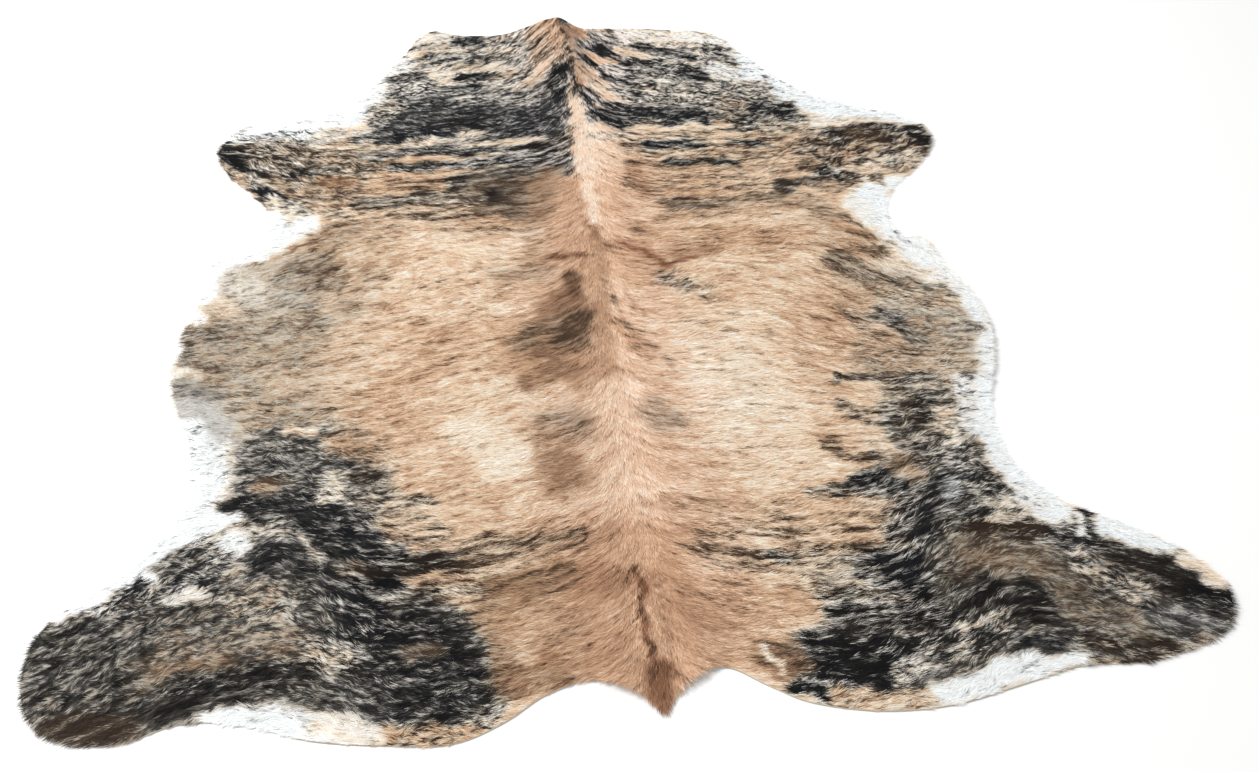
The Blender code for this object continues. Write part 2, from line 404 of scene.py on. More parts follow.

# %% [markdown]
# ## The colour chart
#
# Brindle is dark hair grown in streaks through a lighter coat. Four numbers describe it in each place: the
# share of dark hair, the tone of the light hair (0 white, 0.3 cream, 0.55 tan, 0.8 golden brown, 1 rust),
# how far the streaks break up into speckle, and how far dark and light mix evenly into smoke. The chart is
# a table of named patches. Each is a line from a start to an end with a reach to either side, laid over
# the ones before it, and blended at its border over a share of its reach. A dark share below nothing keeps
# stray dark hairs out. A shader later draws the streaks themselves, so a patch mostly says what grows in a
# region, and no picture is painted. A few patches also carry painted light: dark strips along the neck
# crest and the tail crease are partly painted shadow of those folds, and a grey patch on the right stifle
# is a painted sheen.
# region, and nothing is painted.

# %% The patches of the chart
Patch = namedtuple("Patch", "place start end reach blend dark tone speckle smoke", defaults=[0.0])
GROUND = (-0.05, 0.47, 0.10, 0.0)  # dark share, tone, speckle and smoke where no patch lies
PATCH_ROWS = (
    # The broad regions.
    ("left fore end", (-0.3, 2.02), (-0.3, 1.66), 0.24, 0.8, 0.62, 0.32, 0.6),
    ("right fore end", (0.22, 1.98), (0.24, 1.7), 0.22, 0.8, 0.56, 0.34, 0.6),
    ("left shoulder and arm", (-0.72, 1.55), (-0.1, 1.52), 0.14, 0.8, 0.52, 0.52, 0.25),
    ("right shoulder and arm", (0.12, 1.48), (0.7, 1.5), 0.13, 0.8, 0.46, 0.56, 0.2),
    ("left side", (-0.8, 1.18), (-0.8, 0.8), 0.17, 1.7, 0.24, 0.32, 0.4, 0.38),
    ("left side, inner", (-0.62, 1.08), (-0.61, 0.8), 0.06, 1.6, 0.2, 0.42, 0.25, 0.25),
    ("right side", (0.68, 1.1), (0.66, 0.62), 0.12, 1.5, 0.3, 0.32, 0.42, 0.22),
    ("left hind end", (-1.0, 0.17), (-0.5, 0.2), 0.17, 0.6, 0.7, 0.26, 0.7, 0.4),
    ("left thigh and ham", (-0.62, 0.58), (-0.42, 0.1), 0.15, 0.9, 0.8, 0.26, 0.5, 0.25),
    ("left flank, pale ground", (-0.8, 0.66), (-0.82, 0.44), 0.052, 0.9, 0.12, 0.06, 0.6),
    ("left shank, mixed ground", (-0.9, 0.37), (-0.745, 0.425), 0.05, 1.0, 0.7, 0.12, 0.8),
    ("right hind end", (0.42, 0.08), (0.95, 0.16), 0.14, 0.6, 0.72, 0.3, 0.5, 0.35),
    ("right thigh", (0.58, 0.6), (0.48, 0.2), 0.11, 1.0, 0.66, 0.36, 0.35, 0.15),
    ("right girth, upper mottle", (0.45, 1.31), (0.54, 1.21), 0.044, 1.5, 0.3, 0.5, 0.2, 0.15),
    ("left knee, pale ground", (-0.7, 1.66), (-0.61, 1.73), 0.04, 0.9, 0.08, 0.03, 0.6),
    ("right hock, pale ground", (0.69, 0.4), (0.77, 0.33), 0.034, 0.9, 0.05, 0.02, 0.5),
    ("right armpit, pale ground", (0.6, 1.36), (0.612, 1.23), 0.04, 1.0, 0.1, 0.08, 0.3),
    ("right knee, pale ground", (0.48, 1.745), (0.62, 1.63), 0.046, 0.9, 0.08, 0.02, 0.6),
    # The neck, left of the spine.
    ("left neck", (-0.38, 1.97), (-0.1, 1.96), 0.165, 0.6, 0.46, 0.22, 0.75, 0.05),
    ("left neck, edge", (-0.43, 2.0), (-0.47, 1.88), 0.04, 1.0, 0.28, 0.08, 0.8),
    ("left neck, corner cream", (-0.365, 2.06), (-0.325, 2.055), 0.022, 0.9, 0.1, 0.12, 0.6),
    ("left neck, top block", (-0.28, 2.052), (-0.225, 2.05), 0.026, 0.8, 0.88, 0.2, 0.5),
    ("left neck, top cream", (-0.19, 2.035), (-0.12, 2.03), 0.026, 1.0, 0.58, 0.26, 0.7),
    ("left neck, foot mix", (-0.54, 1.634), (-0.24, 1.636), 0.021, 1.0, 0.8, 0.24, 0.6),
    ("left neck, grey streak", (-0.36, 1.965), (-0.22, 1.968), 0.018, 1.0, 0.66, 0.18, 0.7, 0.1),
    ("left neck, pale band", (-0.4, 2.0), (-0.3, 2.01), 0.012, 1.0, 0.18, 0.16, 0.6),
    ("left neck, tan mix", (-0.21, 1.96), (-0.11, 1.96), 0.026, 1.0, 0.58, 0.28, 0.6),
    ("left throat", (-0.47, 1.89), (-0.37, 1.893), 0.018, 0.9, 0.74, 0.2, 0.6),
    ("left neck, lower cream", (-0.345, 1.9), (-0.3, 1.865), 0.022, 1.0, 0.18, 0.22, 0.6),
    ("left neck, dark bar", (-0.285, 1.885), (-0.2, 1.882), 0.019, 0.9, 0.88, 0.26, 0.5),
    ("left neck, cream bar", (-0.29, 1.915), (-0.16, 1.92), 0.013, 1.1, 0.3, 0.22, 0.5),
    ("left neck, brown bar", (-0.19, 1.88), (-0.11, 1.885), 0.022, 1.0, 0.6, 0.46, 0.5),
    ("left neck, pale curl", (-0.19, 1.845), (-0.13, 1.815), 0.02, 1.0, 0.44, 0.24, 0.3),
    ("left neck, low dark", (-0.35, 1.835), (-0.245, 1.842), 0.014, 1.1, 0.8, 0.15, 0.5),
    ("left throat, speckle", (-0.46, 1.83), (-0.38, 1.85), 0.034, 1.2, 0.56, 0.14, 0.9),
    ("crest, left flank", (-0.085, 2.07), (-0.075, 1.93), 0.028, 0.8, 0.5, 0.55, 0.1),
    ("crest, tan", (-0.05, 2.12), (-0.035, 1.93), 0.02, 0.8, 0.4, 0.6, 0.1),
    ("crest, top brown", (-0.062, 2.125), (-0.04, 2.075), 0.02, 1.1, 0.62, 0.6, 0.1),
    ("crest, dark shoulder", (-0.11, 2.085), (-0.065, 2.12), 0.016, 0.8, 0.88, 0.3, 0.2),
    # Partly dark hair and partly painted shadow: these two strips darken the steep right side of the neck
    # crest, where the fold's shade falls.
    ("crest, dark edge", (-0.026, 2.11), (-0.014, 2.03), 0.016, 0.8, 0.98, 0.5, 0.0),
    ("crest, dark line", (-0.014, 2.03), (-0.008, 1.88), 0.012, 0.9, 0.78, 0.9, 0.0),
    ("crest, low brown", (-0.01, 1.87), (-0.012, 1.69), 0.021, 1.0, 0.88, 0.5, 0.05, 0.1),
    ("crest, rust strip", (0.008, 2.1), (0.012, 1.93), 0.022, 0.8, -0.08, 0.66, 0.0),
    ("crest, rust strip, low", (0.012, 1.93), (0.01, 1.83), 0.015, 0.9, 0.0, 0.78, 0.0),
    ("crest foot, dark stripe", (-0.044, 1.88), (-0.082, 1.78), 0.018, 0.8, 0.88, 0.3, 0.1),
    ("crest foot, pale stripe", (-0.055, 1.93), (-0.115, 1.83), 0.012, 0.9, 0.3, 0.42, 0.1),
    ("crest foot, lower stripe", (-0.03, 1.8), (-0.095, 1.69), 0.018, 0.8, 0.88, 0.3, 0.1),
    ("crest foot, tan", (-0.13, 1.77), (-0.09, 1.78), 0.02, 1.0, 0.42, 0.46, 0.4),
    ("crest foot, cream line", (-0.022, 1.83), (-0.026, 1.74), 0.006, 0.9, 0.45, 0.45, 0.0),
    # The shoulder and fore leg, left.
    ("left shoulder", (-0.43, 1.722), (-0.13, 1.702), 0.1, 0.6, 0.87, 0.12, 0.6, 0.22),
    ("left shoulder, foot dark", (-0.44, 1.645), (-0.35, 1.64), 0.02, 1.1, 0.96, 0.15, 0.3),
    ("left shoulder heart", (-0.34, 1.7), (-0.26, 1.69), 0.03, 1.2, 0.96, 0.2, 0.3, 0.2),
    ("left shoulder, upper grey", (-0.27, 1.79), (-0.12, 1.765), 0.024, 1.2, 0.6, 0.16, 0.6),
    ("left shoulder edge", (-0.54, 1.715), (-0.46, 1.77), 0.042, 1.1, 0.6, 0.25, 0.8),
    ("left shoulder, pale fleck", (-0.29, 1.64), (-0.26, 1.64), 0.018, 0.9, 0.35, 0.3, 0.6),
    ("left shoulder, low", (-0.5, 1.59), (-0.06, 1.59), 0.03, 1.1, 0.58, 0.36, 0.1),
    ("left shoulder, pale streak", (-0.5, 1.606), (-0.08, 1.606), 0.007, 1.0, 0.3, 0.34, 0.05),
    ("left shoulder, cream curl", (-0.35, 1.628), (-0.355, 1.603), 0.008, 1.0, 0.15, 0.38, 0.2),
    ("left arm, cream line", (-0.68, 1.632), (-0.5, 1.612), 0.009, 1.0, 0.2, 0.32, 0.2),
    ("left shoulder, dark streak", (-0.52, 1.572), (-0.08, 1.576), 0.014, 1.0, 0.82, 0.4, 0.05),
    ("left shoulder, gold streak", (-0.46, 1.558), (-0.18, 1.547), 0.008, 1.0, 0.25, 0.6, 0.0),
    ("left withers, pale tongue", (-0.3, 1.503), (-0.125, 1.528), 0.008, 1.0, 0.15, 0.38, 0.1),
    ("left girth, dark hint", (-0.53, 1.27), (-0.5, 1.24), 0.026, 1.3, 0.45, 0.45, 0.2),
    ("left shoulder, dark bar", (-0.44, 1.53), (-0.28, 1.516), 0.016, 1.0, 0.92, 0.4, 0.05),
    ("left shoulder, wide bar", (-0.3, 1.52), (-0.05, 1.535), 0.028, 1.0, 0.66, 0.26, 0.2),
    ("left elbow streaks", (-0.56, 1.46), (-0.22, 1.46), 0.05, 1.1, 0.44, 0.62, 0.0),
    ("left elbow, gold streak", (-0.48, 1.505), (-0.1, 1.5), 0.01, 1.0, 0.24, 0.58, 0.0),
    ("left elbow band", (-0.54, 1.392), (-0.18, 1.385), 0.02, 1.0, 0.75, 0.55, 0.0),
    ("left elbow, dark brown", (-0.52, 1.405), (-0.29, 1.418), 0.018, 1.0, 0.66, 0.5, 0.1, 0.15),
    ("left elbow, low brown", (-0.56, 1.352), (-0.26, 1.345), 0.032, 1.0, 0.52, 0.56, 0.1),
    ("left withers, tan", (-0.14, 1.32), (-0.13, 1.15), 0.044, 1.4, 0.2, 0.6, 0.1, 0.22),
    ("left withers, dark", (-0.29, 1.462), (-0.08, 1.49), 0.03, 1.5, 0.86, 0.42, 0.05, 0.1),
    ("left withers, smudge", (-0.22, 1.425), (-0.175, 1.385), 0.06, 1.2, 0.6, 0.5, 0.1, 0.56),
    ("left withers, smudge foot", (-0.225, 1.345), (-0.14, 1.335), 0.03, 1.2, 0.55, 0.56, 0.1, 0.5),
    ("left withers, smudge heart", (-0.215, 1.395), (-0.175, 1.385), 0.024, 1.1, 0.94, 0.42, 0.1, 0.4),
    ("left withers, brown edge", (-0.11, 1.41), (-0.1, 1.3), 0.03, 1.9, 0.5, 0.6, 0.05, 0.5),
    ("left withers, smudge right", (-0.146, 1.448), (-0.17, 1.362), 0.038, 1.6, 0.66, 0.6, 0.0, 0.62),
    ("left fore leg", (-0.8, 1.6), (-0.6, 1.53), 0.09, 0.8, 0.6, 0.5, 0.55, 0.1),
    ("left fore leg, back", (-0.67, 1.45), (-0.57, 1.44), 0.056, 1.1, 0.54, 0.56, 0.6, 0.15),
    ("left toe edge", (-0.86, 1.64), (-0.772, 1.545), 0.026, 0.8, 0.98, 0.3, 0.15),
    ("left shin edge", (-0.775, 1.52), (-0.745, 1.465), 0.018, 0.9, 0.62, 0.32, 0.7, 0.1),
    ("left elbow knot", (-0.735, 1.44), (-0.688, 1.408), 0.022, 0.9, 0.93, 0.34, 0.5, 0.1),
    ("left fore leg, top speckle", (-0.84, 1.685), (-0.66, 1.662), 0.03, 1.0, 0.52, 0.06, 0.95),
    ("left fore leg, gold", (-0.6, 1.598), (-0.5, 1.59), 0.014, 1.0, 0.42, 0.4, 0.1),
    ("left fore leg, pale", (-0.62, 1.66), (-0.53, 1.69), 0.022, 1.0, 0.34, 0.18, 0.6),
    ("left knee, cream", (-0.56, 1.7), (-0.525, 1.7), 0.012, 1.0, 0.05, 0.28, 0.2),
    ("left fore leg, brown", (-0.76, 1.585), (-0.7, 1.56), 0.04, 1.2, 0.74, 0.5, 0.6),
    ("left fore leg, low dark", (-0.7, 1.525), (-0.59, 1.52), 0.016, 1.0, 0.82, 0.38, 0.5),
    ("left fore leg, low edge", (-0.765, 1.48), (-0.715, 1.44), 0.016, 0.9, 0.86, 0.22, 0.6),
    ("left fore leg, rust", (-0.6, 1.492), (-0.565, 1.492), 0.026, 1.0, 0.46, 0.76, 0.4, 0.1),
    ("left armpit, tan", (-0.668, 1.385), (-0.56, 1.362), 0.018, 1.0, 0.42, 0.44, 0.3),
    ("left brisket, white", (-0.5, 1.83), (-0.61, 1.745), 0.03, 0.8, 0.03, 0.0, 0.6),
    ("left knee, white", (-0.56, 1.748), (-0.78, 1.73), 0.045, 0.8, 0.02, 0.0, 0.6),
    ("left knee, white tongue", (-0.79, 1.7), (-0.745, 1.702), 0.012, 0.8, 0.02, 0.0, 0.3),
    ("left toe, top speckle", (-0.832, 1.69), (-0.808, 1.725), 0.022, 1.0, 0.42, 0.05, 0.9),
    ("left throat, white", (-0.5, 1.93), (-0.5, 1.83), 0.03, 0.9, 0.1, 0.05, 0.8),
    # The ribs and belly, left.
    ("left ribs, pale", (-0.46, 1.238), (-0.2, 1.222), 0.042, 1.0, -0.02, 0.36, 0.05),
    ("left ribs, grey", (-0.34, 1.29), (-0.14, 1.255), 0.03, 1.0, 0.26, 0.5, 0.1, 0.1),
    ("left flank, wide pale", (-0.46, 1.09), (-0.28, 1.08), 0.11, 1.0, 0.06, 0.42, 0.1),
    ("left ribs, warm", (-0.34, 0.935), (-0.2, 0.925), 0.062, 1.2, 0.08, 0.6, 0.1),
    ("left ribs, rust", (-0.2, 0.89), (-0.15, 0.85), 0.05, 1.2, 0.16, 0.68, 0.15),
    ("left ribs, gold streaks", (-0.42, 0.83), (-0.29, 0.89), 0.052, 1.2, 0.04, 0.55, 0.05),
    ("left loin, tan", (-0.43, 0.735), (-0.395, 0.715), 0.03, 1.0, 0.06, 0.58, 0.1),
    ("left loin, flecks", (-0.4, 0.545), (-0.33, 0.505), 0.028, 1.0, 0.14, 0.52, 0.1),
    ("left girth, inner mix", (-0.5, 1.28), (-0.53, 1.02), 0.055, 1.8, 0.14, 0.44, 0.15, 0.18),
    ("left ribs, inner mix", (-0.53, 0.98), (-0.54, 0.78), 0.05, 1.8, 0.12, 0.45, 0.2, 0.12),
    ("left girth, brown mottle", (-0.56, 1.29), (-0.44, 1.31), 0.036, 1.5, 0.3, 0.5, 0.2, 0.1),
    ("left girth, upper", (-0.68, 1.28), (-0.56, 1.31), 0.034, 1.0, 0.34, 0.6, 0.2, 0.3),
    ("left girth, slant", (-0.6, 1.245), (-0.525, 1.315), 0.028, 1.4, 0.32, 0.52, 0.2, 0.3),
    ("left girth", (-0.645, 1.19), (-0.6, 1.18), 0.042, 1.4, 0.52, 0.5, 0.3, 0.5),
    ("left girth, knot", (-0.69, 1.12), (-0.63, 1.08), 0.03, 1.4, 0.62, 0.5, 0.3, 0.45),
    ("left girth, bridge", (-0.62, 1.14), (-0.57, 1.13), 0.02, 1.1, 0.54, 0.5, 0.3, 0.4),
    ("left ribs, soft fleck", (-0.55, 1.05), (-0.53, 1.04), 0.026, 1.2, 0.36, 0.5, 0.2, 0.35),
    ("left girth, edge", (-0.76, 1.12), (-0.66, 1.1), 0.052, 1.0, 0.38, 0.3, 0.45, 0.4),
    ("left girth, low", (-0.72, 1.0), (-0.6, 1.0), 0.042, 1.2, 0.42, 0.38, 0.4, 0.38),
    ("left belly", (-0.82, 0.99), (-0.8, 0.83), 0.072, 0.8, 0.38, 0.36, 0.45, 0.42),
    ("left belly, inner", (-0.7, 0.93), (-0.64, 0.9), 0.044, 1.0, 0.36, 0.4, 0.4, 0.38),
    ("left belly, dark edge", (-0.863, 0.95), (-0.86, 0.905), 0.015, 0.9, 0.62, 0.45, 0.4, 0.45),
    ("left belly, flecks", (-0.87, 1.002), (-0.8, 0.985), 0.018, 0.9, 0.6, 0.45, 0.5, 0.4),
    ("left belly, pink", (-0.815, 1.08), (-0.79, 1.06), 0.022, 1.0, 0.06, 0.24, 0.2, 0.15),
    ("left girth, white rim", (-0.8, 1.236), (-0.73, 1.24), 0.02, 1.1, 0.06, 0.02, 0.4),
    ("left side, white flecks", (-0.8, 1.17), (-0.745, 1.12), 0.044, 0.9, 0.2, 0.14, 0.5, 0.22),
    ("left belly, brown corner", (-0.87, 0.835), (-0.8, 0.8), 0.026, 1.0, 0.52, 0.16, 0.3, 0.55),
    ("left belly, grey corner", (-0.85, 0.77), (-0.79, 0.72), 0.046, 0.8, 0.16, 0.1, 0.5, 0.45),
    ("left belly, pale edge", (-0.89, 0.975), (-0.888, 0.87), 0.013, 0.9, 0.02, 0.0, 0.3),
    ("left belly, pale hem", (-0.88, 1.085), (-0.858, 1.035), 0.024, 1.0, 0.05, 0.08, 0.4),
    ("left belly, pale gap", (-0.885, 0.882), (-0.835, 0.868), 0.015, 1.0, 0.14, 0.14, 0.4, 0.2),
    ("left flank streaks", (-0.74, 0.79), (-0.62, 0.75), 0.04, 1.2, 0.4, 0.38, 0.35, 0.32),
    ("left ribs, low pale", (-0.3, 0.67), (-0.22, 0.6), 0.056, 1.0, 0.04, 0.26, 0.05),
    ("left loin, pale", (-0.24, 0.78), (-0.18, 0.76), 0.036, 1.0, 0.06, 0.32, 0.05),
    ("left chest corner, white", (-0.715, 1.38), (-0.73, 1.29), 0.04, 0.8, 0.02, 0.0, 0.3),
    ("left elbow, pale flecks", (-0.722, 1.42), (-0.662, 1.386), 0.022, 1.2, 0.5, 0.2, 0.6),
    ("left armpit, white", (-0.64, 1.34), (-0.7, 1.28), 0.034, 0.9, 0.05, 0.05, 0.4),
    ("left chest, white", (-0.735, 1.3), (-0.82, 1.225), 0.034, 0.8, 0.02, 0.0, 0.3),
    ("left chest edge, white", (-0.86, 1.25), (-0.85, 1.12), 0.036, 0.9, 0.02, 0.03, 0.4),
    # Along the spine.
    ("spine, cream", (0.0, 1.74), (-0.002, 1.42), 0.028, 0.8, 0.0, 0.31, 0.0),
    ("spine, cream, right", (0.05, 1.6), (0.06, 1.46), 0.036, 0.9, 0.1, 0.42, 0.1),
    ("right withers, grey flecks", (0.015, 1.62), (0.09, 1.592), 0.018, 1.2, 0.4, 0.3, 0.3),
    ("withers, pink", (-0.06, 1.4), (-0.05, 1.08), 0.052, 1.0, -0.02, 0.6, 0.0),
    ("left withers, dark by the spine", (-0.105, 1.472), (-0.055, 1.494), 0.019, 1.4, 0.82, 0.5, 0.05, 0.3),
    ("left withers, soft edge", (-0.096, 1.462), (-0.122, 1.325), 0.026, 1.9, 0.24, 0.62, 0.0, 0.46),
    ("withers, right", (0.045, 1.42), (0.045, 1.22), 0.05, 1.0, -0.02, 0.53, 0.0),
    ("right withers, tan", (0.08, 1.225), (0.17, 1.2), 0.03, 1.4, 0.1, 0.64, 0.0),
    ("withers, middle line", (-0.014, 1.28), (-0.018, 1.03), 0.011, 1.0, 0.12, 0.78, 0.0, 0.1),
    ("withers, pale line", (-0.004, 1.42), (-0.006, 1.29), 0.012, 1.0, 0.0, 0.28, 0.0),
    ("saddle, rust line, left", (-0.11, 1.17), (-0.015, 1.162), 0.007, 1.2, 0.36, 0.86, 0.0, 0.3),
    ("saddle, rust line, right", (0.02, 1.2), (0.11, 1.145), 0.02, 1.2, 0.26, 0.8, 0.0, 0.3),
    ("saddle, rust", (0.15, 1.15), (0.22, 1.15), 0.026, 1.2, 0.16, 0.76, 0.0, 0.2),
    ("saddle, right tan", (0.06, 1.18), (0.1, 1.09), 0.05, 1.2, 0.06, 0.62, 0.05),
    ("spine, rust stripe", (-0.018, 1.2), (-0.018, 0.76), 0.02, 1.0, 0.02, 0.62, 0.0, 0.12),
    ("spine smudge, top", (-0.07, 1.112), (-0.066, 1.04), 0.016, 1.5, 0.56, 0.84, 0.1, 0.6),
    ("spine smudge surround", (-0.09, 1.0), (-0.12, 0.885), 0.054, 1.1, 0.12, 0.74, 0.15, 0.45),
    ("spine smudge, left", (-0.115, 0.95), (-0.185, 0.905), 0.032, 1.3, 0.52, 0.64, 0.1, 0.45),
    ("spine smudge", (-0.064, 0.975), (-0.082, 0.885), 0.034, 1.4, 0.72, 0.7, 0.2, 0.45),
    ("spine smudge, heart", (-0.06, 0.955), (-0.072, 0.895), 0.018, 1.1, 0.7, 0.76, 0.2, 0.45),
    ("spine, below smudge", (-0.07, 0.84), (-0.05, 0.775), 0.034, 1.4, 0.08, 0.7, 0.0, 0.15),
    ("spine smudge, tail", (-0.1, 0.82), (-0.17, 0.79), 0.024, 1.2, 0.3, 0.74, 0.1, 0.3),
    ("left saddle, grey hint", (-0.215, 1.118), (-0.125, 1.112), 0.026, 1.7, 0.24, 0.5, 0.0, 0.32),
    ("loin smudge", (-0.125, 0.665), (-0.08, 0.67), 0.04, 1.6, 0.36, 0.52, 0.15, 0.45),
    ("loin smudge, brown", (-0.15, 0.64), (-0.14, 0.64), 0.03, 1.6, 0.26, 0.62, 0.1, 0.2),
    ("loin smudge, low", (-0.13, 0.56), (-0.12, 0.52), 0.044, 1.2, 0.08, 0.68, 0.15, 0.4),
    ("loin, right grey", (0.05, 0.69), (0.085, 0.65), 0.034, 1.6, 0.22, 0.5, 0.1, 0.45),
    ("spine, pale pink", (-0.015, 0.76), (-0.01, 0.42), 0.046, 0.9, 0.02, 0.44, 0.0),
    ("spine, pale foot", (-0.07, 0.455), (-0.035, 0.4), 0.03, 1.4, -0.04, 0.42, 0.0),
    ("rump", (0.0, 0.262), (0.0, 0.12), 0.165, 0.6, -0.02, 0.62, 0.05),
    ("rump, left rust", (-0.1, 0.28), (-0.05, 0.268), 0.034, 1.6, 0.08, 0.74, 0.0),
    ("rump, left orange", (-0.06, 0.385), (-0.03, 0.37), 0.028, 1.2, 0.0, 0.62, 0.0),
    ("rump, left pink", (-0.08, 0.17), (-0.07, 0.13), 0.034, 1.0, 0.04, 0.66, 0.0),
    ("rump, small rust", (-0.185, 0.12), (-0.165, 0.118), 0.014, 1.2, 0.1, 0.84, 0.05),
    ("rump, right gold", (0.04, 0.28), (0.06, 0.18), 0.034, 1.2, 0.06, 0.72, 0.0),
    ("tail root", (0.0, 0.07), (0.0, -0.01), 0.026, 0.9, 0.34, 0.92, 0.0, 0.2),
    # Partly brown hair and partly painted shadow: these five narrow strips darken the line of the tail
    # crease, where the fold's shade falls.
    ("tail crease, 1", (-0.008, 0.305), (-0.015, 0.262), 0.005, 1.0, 0.5, 1.0, 0.0),
    ("tail crease, 2", (-0.015, 0.262), (-0.009, 0.222), 0.005, 1.0, 0.54, 1.0, 0.0),
    ("tail crease, 3", (-0.009, 0.222), (-0.018, 0.18), 0.006, 1.0, 0.58, 1.0, 0.0),
    ("tail crease, 4", (-0.018, 0.18), (-0.01, 0.125), 0.006, 1.0, 0.62, 1.0, 0.0),
    ("tail crease, 5", (-0.01, 0.125), (-0.006, 0.05), 0.007, 1.0, 0.66, 1.0, 0.0),
    # The hind quarter and leg, left.
    ("left hip", (-0.665, 0.64), (-0.66, 0.55), 0.074, 1.3, 0.76, 0.26, 0.7, 0.3),
    ("left flank, tan gap", (-0.645, 0.698), (-0.61, 0.69), 0.018, 1.3, 0.26, 0.42, 0.4),
    ("left hip foot", (-0.75, 0.505), (-0.64, 0.5), 0.022, 0.8, 0.95, 0.26, 0.3, 0.2),
    ("left hip, brown heart", (-0.68, 0.55), (-0.645, 0.535), 0.024, 1.0, 0.5, 0.58, 0.4, 0.3),
    ("left hip, inner", (-0.55, 0.66), (-0.5, 0.64), 0.04, 1.2, 0.45, 0.62, 0.3, 0.1),
    ("left hip, streak", (-0.56, 0.565), (-0.46, 0.56), 0.022, 0.9, 0.66, 0.45, 0.3, 0.1),
    ("left hip, pale gap", (-0.56, 0.56), (-0.52, 0.495), 0.022, 1.6, 0.38, 0.18, 0.6),
    ("left thigh", (-0.64, 0.49), (-0.5, 0.43), 0.056, 0.9, 0.92, 0.22, 0.5, 0.2),
    ("left thigh, top mix", (-0.56, 0.515), (-0.5, 0.505), 0.024, 1.2, 0.42, 0.24, 0.7),
    ("left thigh, inner flecks", (-0.5, 0.5), (-0.38, 0.49), 0.022, 1.0, 0.55, 0.45, 0.2),
    ("left thigh, cream streaks", (-0.46, 0.44), (-0.38, 0.43), 0.036, 1.0, 0.38, 0.4, 0.2),
    ("left rump streaks", (-0.44, 0.325), (-0.26, 0.32), 0.098, 1.0, 0.46, 0.58, 0.05),
    ("left rump, long streak", (-0.48, 0.335), (-0.3, 0.35), 0.018, 1.0, 0.84, 0.48, 0.05),
    ("left rump, dark root", (-0.49, 0.372), (-0.43, 0.366), 0.02, 1.2, 0.84, 0.3, 0.3),
    ("left rump, streak end", (-0.31, 0.352), (-0.11, 0.38), 0.027, 1.7, 0.6, 0.64, 0.05, 0.1),
    ("left rump, cream streak", (-0.44, 0.303), (-0.24, 0.31), 0.007, 1.0, 0.36, 0.44, 0.0),
    ("left rump, dark streak", (-0.46, 0.28), (-0.26, 0.27), 0.014, 1.0, 0.62, 0.5, 0.05),
    ("left rump, gold", (-0.26, 0.27), (-0.14, 0.29), 0.03, 1.0, 0.46, 0.72, 0.05, 0.25),
    ("left rump, lower gold", (-0.235, 0.235), (-0.16, 0.18), 0.044, 1.4, 0.24, 0.7, 0.05, 0.25),
    ("left pin bone", (-0.43, 0.17), (-0.35, 0.08), 0.094, 0.8, 0.9, 0.26, 0.45, 0.2),
    ("left pin bone, olive", (-0.42, 0.155), (-0.37, 0.15), 0.018, 1.0, 0.78, 0.62, 0.4, 0.4),
    ("left pin bone, border", (-0.268, 0.23), (-0.25, 0.06), 0.028, 1.6, 0.5, 0.66, 0.15, 0.3),
    ("left pin bone, gold", (-0.24, 0.2), (-0.16, 0.19), 0.036, 1.1, 0.18, 0.66, 0.05, 0.1),
    ("left rump, low brown", (-0.225, 0.085), (-0.15, 0.08), 0.03, 1.7, 0.24, 0.64, 0.05, 0.3),
    ("left ham, low edge", (-0.31, 0.01), (-0.26, 0.03), 0.02, 1.2, 0.62, 0.36, 0.4),
    ("left buttock hem", (-0.44, -0.008), (-0.32, -0.018), 0.026, 0.9, 0.44, 0.56, 0.5),
    ("left thigh bar", (-0.585, 0.32), (-0.475, 0.23), 0.032, 0.9, 0.97, 0.22, 0.2, 0.1),
    ("left thigh, bar end", (-0.52, 0.296), (-0.44, 0.306), 0.02, 1.2, 0.92, 0.3, 0.3),
    ("left thigh, dark fan", (-0.62, 0.275), (-0.48, 0.205), 0.038, 1.2, 0.94, 0.2, 0.5),
    ("left thigh, dark foot", (-0.645, 0.24), (-0.56, 0.198), 0.026, 1.2, 0.92, 0.2, 0.5),
    ("left thigh, speckle", (-0.75, 0.43), (-0.665, 0.44), 0.034, 1.1, 0.45, 0.22, 0.8, 0.1),
    ("left thigh, pale fleck", (-0.735, 0.43), (-0.702, 0.398), 0.02, 1.0, 0.1, 0.04, 0.6),
    ("left thigh, dark knot", (-0.67, 0.385), (-0.6, 0.35), 0.044, 0.9, 0.94, 0.22, 0.3, 0.2),
    ("left thigh, heart", (-0.565, 0.43), (-0.5, 0.4), 0.036, 1.0, 0.93, 0.2, 0.4, 0.1),
    ("left thigh, cream line", (-0.615, 0.425), (-0.565, 0.34), 0.009, 0.9, 0.45, 0.2, 0.4),
    ("left hind leg", (-0.96, 0.19), (-0.66, 0.24), 0.116, 0.8, 0.8, 0.28, 0.75, 0.45),
    ("left hind leg, cream", (-0.74, 0.3), (-0.64, 0.275), 0.04, 1.2, 0.58, 0.3, 0.85, 0.25),
    ("left hind leg, gold", (-0.83, 0.205), (-0.62, 0.205), 0.028, 1.2, 0.58, 0.44, 0.6, 0.35),
    ("left hind leg, brown", (-0.9, 0.15), (-0.74, 0.16), 0.03, 1.2, 0.62, 0.62, 0.6, 0.45),
    ("left hind leg, dark", (-0.8, 0.12), (-0.58, 0.135), 0.03, 1.1, 0.92, 0.32, 0.5, 0.3),
    ("left hind leg, hem", (-0.9, 0.075), (-0.7, 0.085), 0.022, 0.9, 0.94, 0.35, 0.2, 0.45),
    ("left hind leg, top pale", (-0.98, 0.305), (-0.87, 0.322), 0.02, 1.0, 0.52, 0.08, 0.8),
